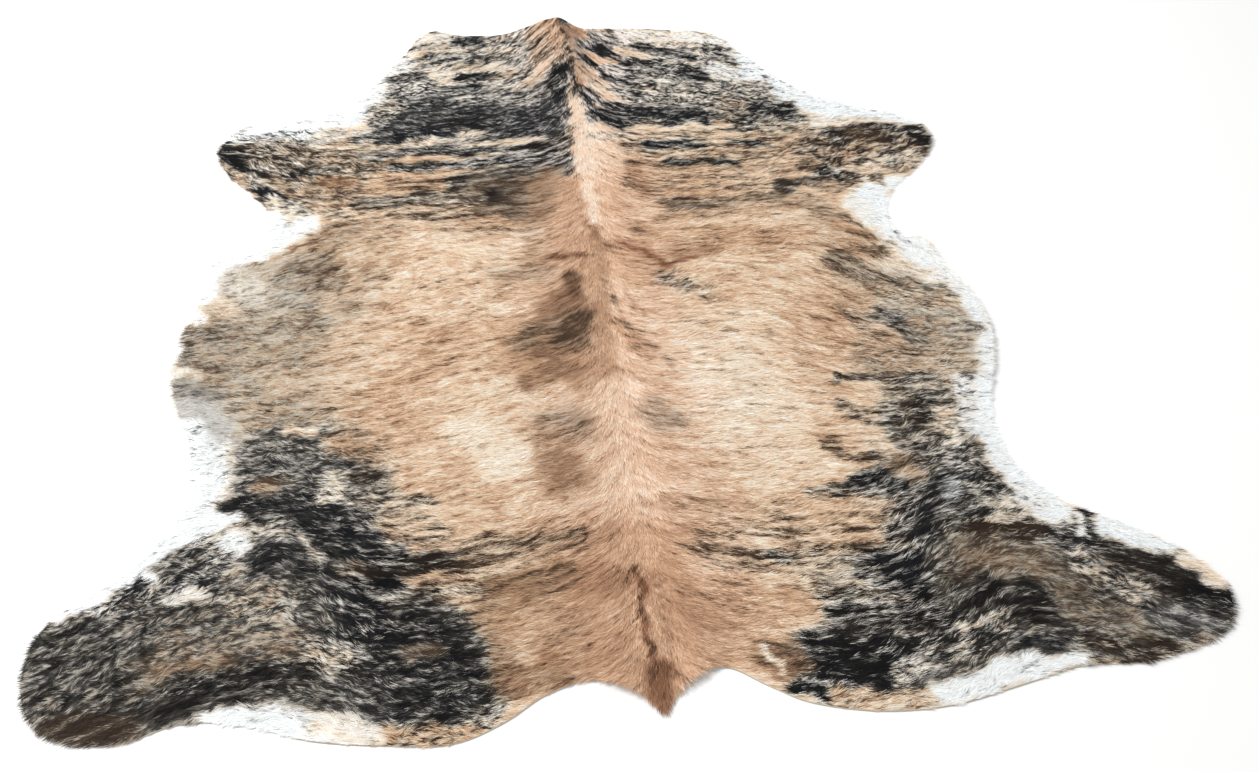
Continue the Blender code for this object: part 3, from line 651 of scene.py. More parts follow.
    ("left hind leg, flecks", (-0.57, 0.165), (-0.52, 0.15), 0.034, 1.2, 0.55, 0.34, 0.6),
    ("left hind toe", (-1.03, 0.21), (-0.95, 0.12), 0.08, 0.8, 0.84, 0.3, 0.7, 0.4),
    ("left heel", (-1.0, 0.07), (-0.88, 0.045), 0.026, 0.9, 0.88, 0.58, 0.2, 0.3),
    ("left stifle island", (-0.86, 0.405), (-0.82, 0.39), 0.034, 0.5, 0.78, 0.3, 0.7, 0.3),
    ("left shank speckle", (-0.92, 0.315), (-0.78, 0.345), 0.034, 1.1, 0.82, 0.18, 0.95, 0.2),
    ("left shank, pale fleck", (-0.835, 0.318), (-0.79, 0.315), 0.014, 0.9, 0.15, 0.1, 0.6),
    ("left flank, white", (-0.85, 0.7), (-0.805, 0.59), 0.044, 0.7, 0.12, 0.02, 0.7),
    ("left flank, low white", (-0.82, 0.59), (-0.84, 0.47), 0.042, 0.7, 0.02, 0.0, 0.5),
    ("left shank, white", (-0.85, 0.46), (-1.02, 0.31), 0.03, 0.7, 0.02, 0.0, 0.5),
    ("left thigh, white tongue", (-0.785, 0.475), (-0.735, 0.48), 0.016, 0.7, 0.03, 0.0, 0.5),
    ("left stifle, white spot", (-0.878, 0.372), (-0.874, 0.368), 0.013, 0.5, 0.0, 0.0, 0.0),
    ("left hock, white", (-0.74, 0.048), (-0.58, 0.03), 0.03, 0.8, 0.26, 0.06, 0.5),
    ("left hock, white hem", (-0.72, 0.03), (-0.52, -0.02), 0.03, 0.8, 0.02, 0.0, 0.4),
    ("left ham, white", (-0.56, 0.02), (-0.48, -0.01), 0.026, 0.8, 0.08, 0.12, 0.5),
    # The neck, right of the spine.
    ("right neck", (0.11, 1.93), (0.34, 1.86), 0.12, 0.8, 0.54, 0.2, 0.7, 0.05),
    ("right neck, top", (0.12, 2.04), (0.28, 2.01), 0.026, 0.8, 0.14, 0.12, 0.7),
    ("right neck, corner", (0.3, 1.99), (0.4, 1.93), 0.034, 1.0, 0.1, 0.08, 0.8),
    ("right neck, top streak", (0.045, 2.06), (0.1, 2.02), 0.013, 0.9, 0.62, 0.3, 0.2),
    ("right neck, dark bar", (0.025, 2.0), (0.055, 1.995), 0.02, 0.8, 0.68, 0.26, 0.1),
    ("right neck, dark bend", (0.06, 1.985), (0.1, 1.925), 0.022, 0.8, 0.92, 0.26, 0.2),
    ("right neck, low bar", (0.1, 1.912), (0.2, 1.895), 0.018, 0.9, 0.88, 0.26, 0.4),
    ("right neck, pale curl", (0.03, 1.96), (0.09, 1.912), 0.011, 0.9, 0.06, 0.5, 0.0),
    ("right neck, dark loop", (0.022, 1.94), (0.044, 1.915), 0.013, 0.9, 0.92, 0.3, 0.0),
    ("right neck, slant bar", (0.155, 1.985), (0.285, 1.915), 0.015, 0.9, 0.86, 0.22, 0.3),
    ("right neck, cream", (0.115, 1.965), (0.18, 1.925), 0.014, 1.0, 0.22, 0.34, 0.4),
    ("right neck, grey cream", (0.22, 1.985), (0.32, 1.94), 0.018, 1.0, 0.32, 0.16, 0.8),
    ("right neck, upper knot", (0.345, 1.95), (0.37, 1.948), 0.018, 0.9, 0.74, 0.18, 0.7),
    ("right neck, knot", (0.35, 1.905), (0.38, 1.895), 0.022, 0.9, 0.8, 0.2, 0.6),
    ("right neck, tan spot", (0.22, 1.885), (0.28, 1.88), 0.014, 1.0, 0.28, 0.42, 0.5),
    ("right throat, mix", (0.12, 1.85), (0.26, 1.85), 0.04, 1.2, 0.66, 0.22, 0.8),
    ("right throat, dark", (0.27, 1.85), (0.3, 1.83), 0.02, 0.9, 0.93, 0.22, 0.4),
    ("right throat, dark fleck", (0.13, 1.81), (0.17, 1.805), 0.015, 0.9, 0.62, 0.22, 0.7),
    ("right throat, pale", (0.34, 1.87), (0.38, 1.82), 0.028, 1.0, 0.22, 0.08, 0.9),
    ("right throat, outer flecks", (0.43, 1.83), (0.46, 1.79), 0.02, 1.0, 0.62, 0.1, 0.9),
    ("right neck foot", (0.1, 1.75), (0.44, 1.73), 0.044, 1.1, 0.64, 0.22, 0.85, 0.05),
    ("right neck, edge white", (0.425, 1.915), (0.425, 1.83), 0.028, 1.0, 0.06, 0.02, 0.7),
    ("right neck foot, pale", (0.14, 1.79), (0.29, 1.75), 0.018, 1.0, 0.58, 0.28, 0.8),
    ("right neck, cream foot", (0.02, 1.88), (0.06, 1.83), 0.018, 1.0, 0.22, 0.4, 0.05),
    ("right neck, low dark", (0.07, 1.85), (0.108, 1.822), 0.018, 1.1, 0.8, 0.25, 0.4),
    ("right crest foot, grey", (0.016, 1.78), (0.02, 1.68), 0.014, 0.9, 0.7, 0.24, 0.2),
    ("right crest stripe", (0.05, 1.765), (0.11, 1.705), 0.017, 0.8, 0.9, 0.26, 0.1),
    ("right crest cream line", (0.02, 1.815), (0.105, 1.725), 0.01, 1.0, 0.1, 0.36, 0.0),
    ("right crest cream line, end", (0.11, 1.722), (0.18, 1.712), 0.01, 1.0, 0.18, 0.36, 0.2),
    ("right throat edge, white", (0.44, 1.86), (0.5, 1.78), 0.026, 0.9, 0.12, 0.0, 0.95),
    # The shoulder and fore leg, right.
    ("right shoulder bar", (0.06, 1.7), (0.13, 1.672), 0.02, 0.8, 0.88, 0.26, 0.1),
    ("right crest low stripe", (0.035, 1.705), (0.1, 1.635), 0.014, 0.9, 0.84, 0.28, 0.1),
    ("right shoulder, wide bar", (0.11, 1.69), (0.29, 1.655), 0.032, 1.0, 0.9, 0.2, 0.5),
    ("right shoulder, brown", (0.36, 1.69), (0.4, 1.64), 0.046, 1.2, 0.62, 0.46, 0.8, 0.1),
    ("right shoulder, mix", (0.34, 1.6), (0.5, 1.585), 0.034, 1.2, 0.9, 0.42, 0.7),
    ("right shoulder, lower mix", (0.405, 1.642), (0.5, 1.628), 0.024, 1.2, 0.8, 0.32, 0.6, 0.05),
    ("right shoulder, edge", (0.43, 1.68), (0.49, 1.67), 0.028, 1.0, 0.9, 0.24, 0.6),
    ("right shoulder, low fleck", (0.385, 1.612), (0.4, 1.598), 0.016, 0.9, 0.8, 0.3, 0.6),
    ("right shoulder, cream", (0.11, 1.615), (0.33, 1.61), 0.016, 1.0, 0.22, 0.34, 0.1),
    ("right shoulder, under bar tail", (0.19, 1.634), (0.29, 1.63), 0.014, 0.9, 0.82, 0.2, 0.6),
    ("right shoulder streaks", (0.12, 1.54), (0.48, 1.53), 0.05, 1.1, 0.44, 0.5, 0.05),
    ("right shoulder, dark streak", (0.14, 1.562), (0.255, 1.543), 0.018, 0.9, 0.94, 0.28, 0.15),
    ("right shoulder, pink", (0.3, 1.572), (0.35, 1.56), 0.014, 1.0, 0.12, 0.42, 0.1),
    ("right shoulder, low bar", (0.32, 1.545), (0.42, 1.52), 0.01, 1.0, 0.8, 0.4, 0.05),
    ("right shoulder, brown bar", (0.28, 1.5), (0.48, 1.5), 0.014, 1.0, 0.58, 0.62, 0.1),
    ("right elbow streaks", (0.11, 1.43), (0.47, 1.43), 0.046, 0.9, 0.38, 0.58, 0.0),
    ("right elbow, dark streak", (0.17, 1.492), (0.33, 1.462), 0.012, 1.0, 0.88, 0.4, 0.05),
    ("right elbow, low streaks", (0.15, 1.37), (0.4, 1.37), 0.03, 1.2, 0.4, 0.58, 0.0),
    ("right withers, edge", (0.1, 1.48), (0.11, 1.38), 0.018, 1.7, 0.36, 0.72, 0.1),
    ("right elbow band", (0.165, 1.325), (0.27, 1.31), 0.026, 1.8, 0.66, 0.58, 0.15, 0.4),
    ("right elbow band, end", (0.27, 1.308), (0.43, 1.345), 0.018, 1.1, 0.56, 0.6, 0.1, 0.3),
    ("right elbow, dark knot", (0.43, 1.372), (0.5, 1.378), 0.02, 0.9, 0.8, 0.5, 0.3, 0.2),
    ("right elbow, knot end", (0.5, 1.368), (0.54, 1.388), 0.018, 1.0, 0.78, 0.5, 0.4, 0.1),
    ("right elbow, under band", (0.13, 1.28), (0.5, 1.29), 0.018, 1.0, 0.3, 0.58, 0.05, 0.1),
    ("right armpit, brown", (0.49, 1.295), (0.545, 1.215), 0.028, 1.4, 0.4, 0.52, 0.1, 0.2),
    ("right fore leg", (0.58, 1.49), (0.74, 1.5), 0.084, 0.8, 0.72, 0.5, 0.75, 0.1),
    ("right fore leg, gold", (0.43, 1.6), (0.56, 1.59), 0.026, 1.0, 0.48, 0.36, 0.5),
    ("right fore leg, top edge", (0.58, 1.548), (0.735, 1.56), 0.017, 0.9, 0.86, 0.45, 0.4),
    ("right fore leg, pale top", (0.56, 1.602), (0.72, 1.606), 0.024, 0.9, 0.1, 0.14, 0.6),
    ("right fore leg, knot", (0.64, 1.548), (0.68, 1.53), 0.026, 0.9, 0.82, 0.66, 0.4),
    ("right fore leg, heart", (0.6, 1.47), (0.66, 1.48), 0.03, 1.2, 0.56, 0.58, 0.7),
    ("right fore leg, cream", (0.57, 1.402), (0.65, 1.412), 0.018, 1.0, 0.14, 0.34, 0.5),
    ("right toe", (0.775, 1.535), (0.795, 1.508), 0.022, 0.8, 0.95, 0.4, 0.2),
    ("right toe, pale hem", (0.74, 1.606), (0.8, 1.58), 0.027, 0.8, 0.02, 0.02, 0.3),
    ("right fore leg, back edge", (0.535, 1.415), (0.615, 1.36), 0.024, 0.9, 0.82, 0.38, 0.5),
    ("right shin edge", (0.7, 1.44), (0.76, 1.44), 0.028, 1.1, 0.44, 0.3, 0.5),
    ("right elbow, white", (0.672, 1.35), (0.722, 1.36), 0.024, 0.8, 0.02, 0.03, 0.4),
    ("right elbow, tip brown", (0.6, 1.388), (0.652, 1.374), 0.018, 1.1, 0.6, 0.48, 0.4, 0.05),
    ("right elbow, low brown", (0.485, 1.353), (0.605, 1.352), 0.015, 1.2, 0.48, 0.55, 0.3),
    ("right brisket, white", (0.52, 1.745), (0.59, 1.668), 0.028, 0.8, 0.03, 0.0, 0.5),
    ("right knee, white", (0.575, 1.69), (0.77, 1.632), 0.044, 0.8, 0.05, 0.0, 0.6),
    ("right knee, cream foot", (0.592, 1.606), (0.69, 1.602), 0.013, 1.1, 0.24, 0.16, 0.5),
    ("right knee, white top", (0.52, 1.735), (0.575, 1.69), 0.036, 1.0, 0.06, 0.0, 0.6),
    ("right armpit, white", (0.628, 1.33), (0.668, 1.215), 0.03, 0.8, 0.02, 0.0, 0.3),
    ("right armpit, pink", (0.578, 1.3), (0.605, 1.25), 0.018, 1.0, 0.06, 0.08, 0.1),
    # The ribs and belly, right.
    ("right ribs, cream", (0.21, 1.246), (0.46, 1.252), 0.016, 1.0, 0.0, 0.36, 0.0),
    ("right ribs, tan", (0.2, 1.21), (0.5, 1.18), 0.04, 1.0, 0.2, 0.62, 0.0),
    ("right ribs, inner mix", (0.5, 1.18), (0.48, 0.86), 0.045, 1.8, 0.14, 0.5, 0.15, 0.14),
    ("right girth streak", (0.53, 1.215), (0.6, 1.165), 0.014, 1.0, 0.46, 0.72, 0.1),
    ("right girth, low streak", (0.5, 1.13), (0.61, 1.12), 0.014, 1.0, 0.6, 0.72, 0.1),
    ("right saddle flecks", (0.13, 1.072), (0.2, 1.018), 0.03, 1.3, 0.46, 0.44, 0.7, 0.1),
    ("right saddle, red strand", (0.05, 1.2), (0.12, 1.122), 0.007, 1.0, 0.16, 0.98, 0.0, 0.1),
    ("right saddle, red strand end", (0.12, 1.122), (0.2, 1.118), 0.006, 1.0, 0.2, 0.95, 0.0, 0.1),
    ("right saddle, dark fleck", (0.105, 1.095), (0.125, 1.085), 0.01, 1.0, 0.66, 0.6, 0.3, 0.2),
    ("right girth", (0.52, 1.08), (0.58, 1.0), 0.036, 1.2, 0.52, 0.55, 0.3, 0.32),
    ("right girth, slant", (0.5, 1.105), (0.6, 1.015), 0.024, 1.1, 0.6, 0.52, 0.3, 0.3),
    ("right belly, upper", (0.61, 1.0), (0.68, 0.96), 0.048, 1.1, 0.48, 0.4, 0.5, 0.35),
    ("right belly", (0.7, 0.94), (0.72, 0.82), 0.046, 0.9, 0.36, 0.3, 0.45, 0.3),
    ("right girth, edge tuft", (0.69, 0.985), (0.715, 0.93), 0.02, 1.0, 0.66, 0.4, 0.4, 0.3),
    ("right belly, dark", (0.57, 0.89), (0.605, 0.845), 0.044, 1.1, 0.7, 0.4, 0.5, 0.28),
    ("right belly, brown", (0.64, 0.87), (0.65, 0.86), 0.03, 1.2, 0.52, 0.5, 0.5, 0.35),
    ("right ribs, dark slant", (0.575, 0.985), (0.72, 0.935), 0.022, 1.3, 0.42, 0.42, 0.4, 0.1),
    ("right ribs, low slant", (0.47, 0.87), (0.56, 0.805), 0.02, 1.3, 0.46, 0.52, 0.15, 0.1),
    ("right flank, rim streak", (0.62, 0.718), (0.73, 0.71), 0.014, 1.1, 0.78, 0.3, 0.4, 0.1),
    ("right ribs, outer fleck", (0.625, 0.8), (0.7, 0.785), 0.02, 1.3, 0.55, 0.34, 0.5, 0.1),
    ("right belly, tan lock", (0.655, 0.79), (0.7, 0.76), 0.03, 1.2, 0.4, 0.46, 0.3, 0.35),
    ("right belly, rim", (0.748, 1.0), (0.768, 0.85), 0.024, 0.8, 0.03, 0.03, 0.4),
    ("right side, pale tip", (0.7, 1.015), (0.74, 1.0), 0.024, 1.1, 0.1, 0.1, 0.4),
    ("right side, low rim", (0.77, 0.84), (0.748, 0.735), 0.026, 1.0, 0.06, 0.04, 0.5),
    ("right belly, edge tab", (0.73, 0.86), (0.75, 0.85), 0.012, 0.9, 0.6, 0.3, 0.4, 0.3),
    ("right flank, gold", (0.43, 0.94), (0.47, 0.86), 0.034, 1.2, 0.14, 0.6, 0.1),
    ("right flank, soft tan", (0.32, 1.09), (0.43, 0.98), 0.052, 1.2, 0.04, 0.5, 0.05),
    ("right flank, slant streaks", (0.5, 0.93), (0.56, 0.83), 0.03, 1.2, 0.36, 0.55, 0.05, 0.1),
    ("right flank", (0.5, 0.78), (0.66, 0.74), 0.046, 1.2, 0.4, 0.5, 0.35, 0.2),
    ("right flank, dark band", (0.43, 0.738), (0.61, 0.722), 0.014, 1.0, 0.7, 0.5, 0.4, 0.1),
    ("right flank, dark tab", (0.68, 0.71), (0.725, 0.708), 0.013, 0.9, 0.88, 0.36, 0.1, 0.2),
    ("right ribs, wide pale", (0.22, 0.88), (0.26, 0.64), 0.11, 1.0, 0.06, 0.34, 0.05),
    ("right ribs, palest", (0.19, 0.76), (0.24, 0.7), 0.06, 1.0, 0.03, 0.22, 0.0),
    ("right loin, pale", (0.22, 0.54), (0.24, 0.44), 0.04, 1.4, -0.02, 0.36, 0.0),
    ("right loin, dark foot", (0.05, 0.45), (0.14, 0.43), 0.02, 1.3, 0.18, 0.62, 0.0, 0.1),
    ("spine, right slant streak", (0.014, 0.95), (0.06, 0.84), 0.016, 1.0, 0.2, 0.62, 0.0),
    ("spine, hair line", (0.008, 1.04), (0.034, 0.945), 0.006, 1.0, 0.42, 0.6, 0.0, 0.2),
    ("spine, hair line, low", (0.034, 0.945), (0.1, 0.8), 0.006, 1.0, 0.34, 0.6, 0.0, 0.2),
    ("spine, second line", (0.024, 1.06), (0.056, 0.96), 0.004, 1.0, 0.26, 0.62, 0.0, 0.2),
    ("right belly edge, white", (0.69, 1.14), (0.74, 1.03), 0.034, 0.9, 0.08, 0.06, 0.5),
    ("right girth, cream", (0.645, 1.12), (0.665, 1.06), 0.038, 1.0, 0.12, 0.26, 0.2),
    ("right side, white shoulder", (0.64, 1.215), (0.7, 1.08), 0.034, 1.1, 0.04, 0.04, 0.5),
    # The hind quarter and leg, right.
    ("right loin fleck", (0.43, 0.655), (0.46, 0.63), 0.024, 1.0, 0.55, 0.55, 0.2),
    ("right hip", (0.56, 0.68), (0.6, 0.62), 0.046, 1.1, 0.62, 0.4, 0.5, 0.1),
    ("right hip, dark heart", (0.59, 0.66), (0.585, 0.61), 0.022, 1.0, 0.86, 0.38, 0.4, 0.1),
    ("right hip, low", (0.535, 0.58), (0.56, 0.51), 0.046, 1.0, 0.72, 0.46, 0.5, 0.1),
    ("right hip, inner cream", (0.48, 0.575), (0.492, 0.53), 0.02, 1.3, 0.2, 0.4, 0.3),
    ("right hip, pale", (0.63, 0.6), (0.61, 0.53), 0.024, 1.0, 0.35, 0.22, 0.6),
    ("right loin streaks", (0.38, 0.56), (0.44, 0.51), 0.026, 1.0, 0.52, 0.6, 0.25),
    ("right loin, dark streak", (0.32, 0.438), (0.4, 0.435), 0.019, 0.9, 0.7, 0.48, 0.1),
    ("right rump knot", (0.43, 0.455), (0.495, 0.44), 0.028, 1.0, 0.88, 0.28, 0.2),
    ("right rump, gold tuft", (0.5, 0.5), (0.53, 0.43), 0.022, 1.0, 0.5, 0.55, 0.3, 0.2),
    ("right rump streaks", (0.16, 0.32), (0.42, 0.33), 0.086, 1.1, 0.4, 0.56, 0.05),
    ("right rump, left streak", (0.11, 0.345), (0.2, 0.3), 0.02, 1.0, 0.56, 0.64, 0.0),
    ("right rump, dark streak", (0.22, 0.3), (0.38, 0.262), 0.013, 1.0, 0.66, 0.44, 0.0),
    ("right rump, gold", (0.12, 0.23), (0.24, 0.18), 0.046, 1.0, 0.12, 0.6, 0.0),
    ("right rump, cream streak", (0.22, 0.25), (0.36, 0.215), 0.016, 1.0, 0.1, 0.38, 0.0),
    ("right rump, low streaks", (0.33, 0.175), (0.48, 0.14), 0.04, 1.2, 0.8, 0.34, 0.1),
    ("right rump, low streaks, tip", (0.29, 0.2), (0.4, 0.195), 0.012, 1.0, 0.66, 0.44, 0.1),
    ("right rump, outer mix", (0.305, 0.245), (0.42, 0.205), 0.046, 1.4, 0.52, 0.44, 0.2),
    ("right rump heart", (0.428, 0.252), (0.48, 0.225), 0.046, 1.0, 0.94, 0.22, 0.1),
    ("right rump, heart tail", (0.33, 0.272), (0.405, 0.24), 0.017, 1.1, 0.72, 0.42, 0.15),
    ("right rump, upper tail", (0.262, 0.286), (0.345, 0.262), 0.015, 1.1, 0.52, 0.48, 0.1),
    ("right thigh, band", (0.46, 0.33), (0.53, 0.395), 0.028, 1.2, 0.76, 0.38, 0.4),
    ("right thigh, low dark", (0.49, 0.115), (0.55, 0.15), 0.022, 1.1, 0.86, 0.34, 0.3),
    ("right stifle bar", (0.51, 0.31), (0.61, 0.46), 0.034, 0.9, 0.9, 0.24, 0.15, 0.1),
    # Painted sheen: this greyer, paler patch on the dark bar stands in for light glancing off the glossy
    # hair.
    ("right stifle bar, sheen", (0.57, 0.4), (0.6, 0.43), 0.02, 1.4, 0.5, 0.05, 0.3, 0.15),
    ("right stifle", (0.63, 0.5), (0.67, 0.43), 0.036, 1.0, 0.74, 0.34, 0.6, 0.1),
    ("right stifle, speckle", (0.61, 0.48), (0.64, 0.4), 0.028, 1.1, 0.76, 0.2, 0.8, 0.15),
    ("right stifle, pale", (0.62, 0.36), (0.68, 0.36), 0.034, 1.0, 0.34, 0.22, 0.6, 0.1),
    ("right stifle, tan", (0.65, 0.385), (0.69, 0.37), 0.016, 1.0, 0.55, 0.34, 0.3),
    ("right thigh streaks", (0.52, 0.2), (0.58, 0.31), 0.034, 1.2, 0.55, 0.36, 0.2, 0.1),
    ("right stifle, bar shade", (0.545, 0.33), (0.62, 0.37), 0.022, 1.3, 0.8, 0.3, 0.35, 0.1),
    ("right hind leg", (0.6, 0.22), (0.94, 0.16), 0.096, 0.8, 0.8, 0.4, 0.6, 0.4),
    ("right hind leg, top edge", (0.6, 0.312), (0.78, 0.312), 0.022, 0.7, 0.9, 0.6, 0.2),
    ("right hind leg, top knot", (0.815, 0.33), (0.83, 0.29), 0.022, 0.6, 0.88, 0.44, 0.4),
    ("right hind leg, gold", (0.6, 0.25), (0.69, 0.235), 0.044, 1.2, 0.58, 0.55, 0.5, 0.55),
    ("right hind leg, dark", (0.58, 0.17), (0.69, 0.15), 0.042, 1.0, 0.93, 0.34, 0.2, 0.2),
    ("right hind leg, flecks", (0.775, 0.235), (0.85, 0.15), 0.026, 1.0, 0.6, 0.3, 0.9, 0.15),
    ("right hind leg, top flecks", (0.76, 0.29), (0.82, 0.27), 0.028, 1.1, 0.84, 0.25, 0.5, 0.1),
    ("right hind leg, low brown", (0.8, 0.1), (0.85, 0.08), 0.03, 1.2, 0.62, 0.42, 0.6, 0.55),
    ("right hind leg, brown", (0.735, 0.175), (0.74, 0.12), 0.034, 1.2, 0.66, 0.46, 0.6, 0.55),
    ("right shank", (0.85, 0.255), (0.95, 0.15), 0.034, 1.0, 0.92, 0.42, 0.2, 0.2),
    ("right shank, grey", (0.88, 0.1), (0.96, 0.08), 0.028, 1.2, 0.68, 0.12, 0.4, 0.3),
    ("right hind toe", (0.96, 0.14), (1.005, 0.12), 0.028, 0.8, 0.92, 0.3, 0.2, 0.1),
    ("right heel", (0.76, 0.045), (0.86, 0.025), 0.024, 0.8, 0.86, 0.5, 0.4, 0.2),
    ("right ham", (0.42, 0.075), (0.6, 0.075), 0.036, 1.1, 0.74, 0.28, 0.6, 0.1),
    ("right ham, cream", (0.52, 0.1), (0.61, 0.125), 0.007, 1.0, 0.4, 0.3, 0.3),
    ("right ham, grey", (0.6, 0.05), (0.7, 0.07), 0.024, 1.0, 0.88, 0.2, 0.6, 0.4),
    ("right pin bone", (0.27, 0.075), (0.37, 0.05), 0.06, 0.8, 0.93, 0.28, 0.2, 0.05),
    ("right pin bone, gold", (0.215, 0.1), (0.238, 0.02), 0.024, 1.0, 0.62, 0.66, 0.1, 0.3),
    ("right pin bone, foot", (0.23, 0.012), (0.3, -0.008), 0.026, 1.1, 0.84, 0.24, 0.5),
    ("right pin bone, rust", (0.176, 0.085), (0.196, 0.062), 0.024, 1.8, 0.62, 0.85, 0.05, 0.3),
    ("right ham, pale flecks", (0.39, 0.02), (0.44, 0.04), 0.024, 1.2, 0.54, 0.24, 0.6),
    ("right pin bone, light curl", (0.178, 0.1), (0.188, 0.05), 0.005, 0.8, 0.0, 0.2, 0.0),
    ("right buttock hem", (0.29, -0.015), (0.43, -0.034), 0.022, 0.8, 0.36, 0.48, 0.4),
    ("right ham, white", (0.47, -0.025), (0.62, 0.01), 0.03, 0.8, 0.04, 0.02, 0.5),
    ("right hock, white", (0.6, 0.012), (0.72, 0.02), 0.016, 0.8, 0.1, 0.03, 0.6),
    ("right flank, white", (0.735, 0.69), (0.702, 0.56), 0.034, 0.8, 0.03, 0.0, 0.5),
    ("right flank, grey border", (0.68, 0.7), (0.66, 0.58), 0.022, 1.0, 0.32, 0.08, 0.6),
    ("right stifle, white", (0.702, 0.56), (0.735, 0.42), 0.038, 0.8, 0.03, 0.0, 0.5),
    ("right thigh, white", (0.75, 0.4), (0.765, 0.345), 0.03, 0.7, 0.04, 0.0, 0.4),
    ("right thigh, pale ground", (0.715, 0.41), (0.735, 0.375), 0.018, 1.0, 0.2, 0.06, 0.6),
    ("right shank, white", (0.85, 0.31), (0.94, 0.25), 0.026, 0.7, 0.02, 0.0, 0.4),
    ("right shank, white notch", (0.8, 0.325), (0.796, 0.29), 0.009, 0.6, 0.05, 0.0, 0.3),
    ("right toe, pink", (0.975, 0.215), (1.0, 0.165), 0.022, 0.8, -0.02, 0.2, 0.2),
)
PATCHES = [Patch(*row) for row in PATCH_ROWS]
print(len(PATCHES), "patches on the chart")

# %% Read the chart at each place
WANDER = ((0.004, 8.0), (0.009, 26.0))  # how far patch borders wander, and how many times a metre


def wandering(across, along):
    """The places, moved about a little, so that no patch has an even border."""
    moved = np.stack([across, along], 1)
    for reach, often in WANDER:
        for axis in (0, 1):
            shift = [noise.noise((x * often, y * often, 7.3 * axis)) for x, y in zip(across, along)]
            moved[:, axis] += reach * 2 * np.array(shift)
    return moved


def share_in(patch, at):
    """How fully each place lies in the patch, from 0 to 1."""
    start, end = np.array(patch.start), np.array(patch.end)
    run = end - start
    share = np.clip((at - start) @ run / (run @ run), 0, 1)
    aside = np.linalg.norm(at - start - share[:, None] * run, axis=1)
    level = np.clip(0.5 + (1 - aside / patch.reach) / patch.blend, 0, 1)
    return level * level * (3 - 2 * level)


def read_patches(across, along):
    """The dark share, tone, speckle and smoke at each place."""
    at = wandering(across, along)
    coat = np.repeat([GROUND], len(at), 0)
    for patch in PATCHES:
        share = share_in(patch, at)[:, None]
        numbers = np.array([[patch.dark, patch.tone, patch.speckle, patch.smoke]])
        coat = coat * (1 - share) + numbers * share
    return coat.T


dark, tone, speckle, smoke = read_patches(across, along)
print("dark share over the hide:", round(float(dark.mean()), 2))

# %% [markdown]
# ## The sheet
#
# The leather is one closed mesh: the hair side, the flesh side 2.5 mm below it, and a rounded cut edge
# between them. It carries what the hair and the shaders need as attributes on its points.

# %% Build the leather sheet
EDGE_ROUND = 0.0009  # how far the middle of the cut edge stands out
FULL_DEPTH = 0.04  # this far in from the cut edge, the hair lies at its full depth


def add_numbers(mesh, name, values):
    """Stores one number, or one direction, for each point of the mesh."""
    kind = "FLOAT" if values.ndim == 1 else "FLOAT_VECTOR"
    attribute = mesh.attributes.new(name, kind, "POINT")
    attribute.data.foreach_set("value" if values.ndim == 1 else "vector", values.astype(np.float32).ravel())


def add_flat_map(mesh, spots):
    """Stores a place in the unit square for each corner of each face."""
    corners = np.zeros(len(mesh.loops), np.int32)
    mesh.loops.foreach_get("vertex_index", corners)
    layer = mesh.uv_layers.new(name="OFBake")
    layer.data.foreach_set("uv", spots[corners].astype(np.float32).ravel())


def object_of(name, mesh):
    thing = bpy.data.objects.new(name, mesh)
    bpy.context.scene.collection.objects.link(thing)
    return thing


def coat_numbers():
    """What the coat needs to know at each place, by name."""
    stream = np.stack([stream_out, stream_along, np.zeros(len(places))], 1)
    lean = np.concatenate([lay, np.zeros((len(places), 1))], 1)
    depth = np.clip(from_rim / FULL_DEPTH, 0, 1)
    coat = {"dark": dark, "tone": tone, "speckle": speckle, "smoke": smoke}
    return coat | {"stream": stream, "lay": lean, "depth": depth}


def leather_sheet():
    count, edge = len(places), len(rim)
    under = np.column_stack([places, heights])
    upper = under + [0, 0, SKIN]
    middle = np.column_stack([rim - EDGE_ROUND * inwards(rim), heights[:edge] + SKIN / 2])
    here, onward = np.arange(edge), np.roll(np.arange(edge), -1)
    above, beside = here + count, onward + count
    round_here, round_onward = here + 2 * count, onward + 2 * count
    low_wall = np.stack([here, onward, round_onward, round_here], 1)
    high_wall = np.stack([round_here, round_onward, beside, above], 1)
    mesh = bpy.data.meshes.new("leather")
    sides = [(faces + count).tolist(), faces[:, ::-1].tolist(), low_wall.tolist(), high_wall.tolist()]
    mesh.from_pydata(np.concatenate([under, upper, middle]).tolist(), [], sum(sides, []))
    mesh.update()
    for name, values in coat_numbers().items():
        add_numbers(mesh, name, np.concatenate([values, values, values[:edge]]))
    hair_side = np.arange(len(mesh.polygons)) < len(faces)
    mesh.polygons.foreach_set("material_index", (~hair_side).astype(np.int32))
    mesh.shade_smooth()
    return mesh


leather = object_of("leather_sheet", leather_sheet())
print(len(leather.data.polygons), "faces in the leather sheet")

# %% [markdown]
# ## Brindle as a shader
#
# One node group turns the chart into hair colour, and both the lying hair and the skin between its roots
# use it. Noise is stretched along the hair streams, so it comes out as streaks, and a rounder noise takes
# over where the chart asks for speckle. Where the noise passes a threshold set by the dark share, the hair
# is dark. A painted picture would be simpler, but streaks made by a rule stay sharp at any distance.

# %% The brindle group

def sheet_colour(red, green, blue):
    """A colour as seen on a screen, from 0 to 255, as the light value that a shader needs."""
    screen = np.array([red, green, blue]) / 255
    light = np.where(screen <= 0.04045, screen / 12.92, ((screen + 0.055) / 1.055) ** 2.4)
    return (*light.tolist(), 1.0)


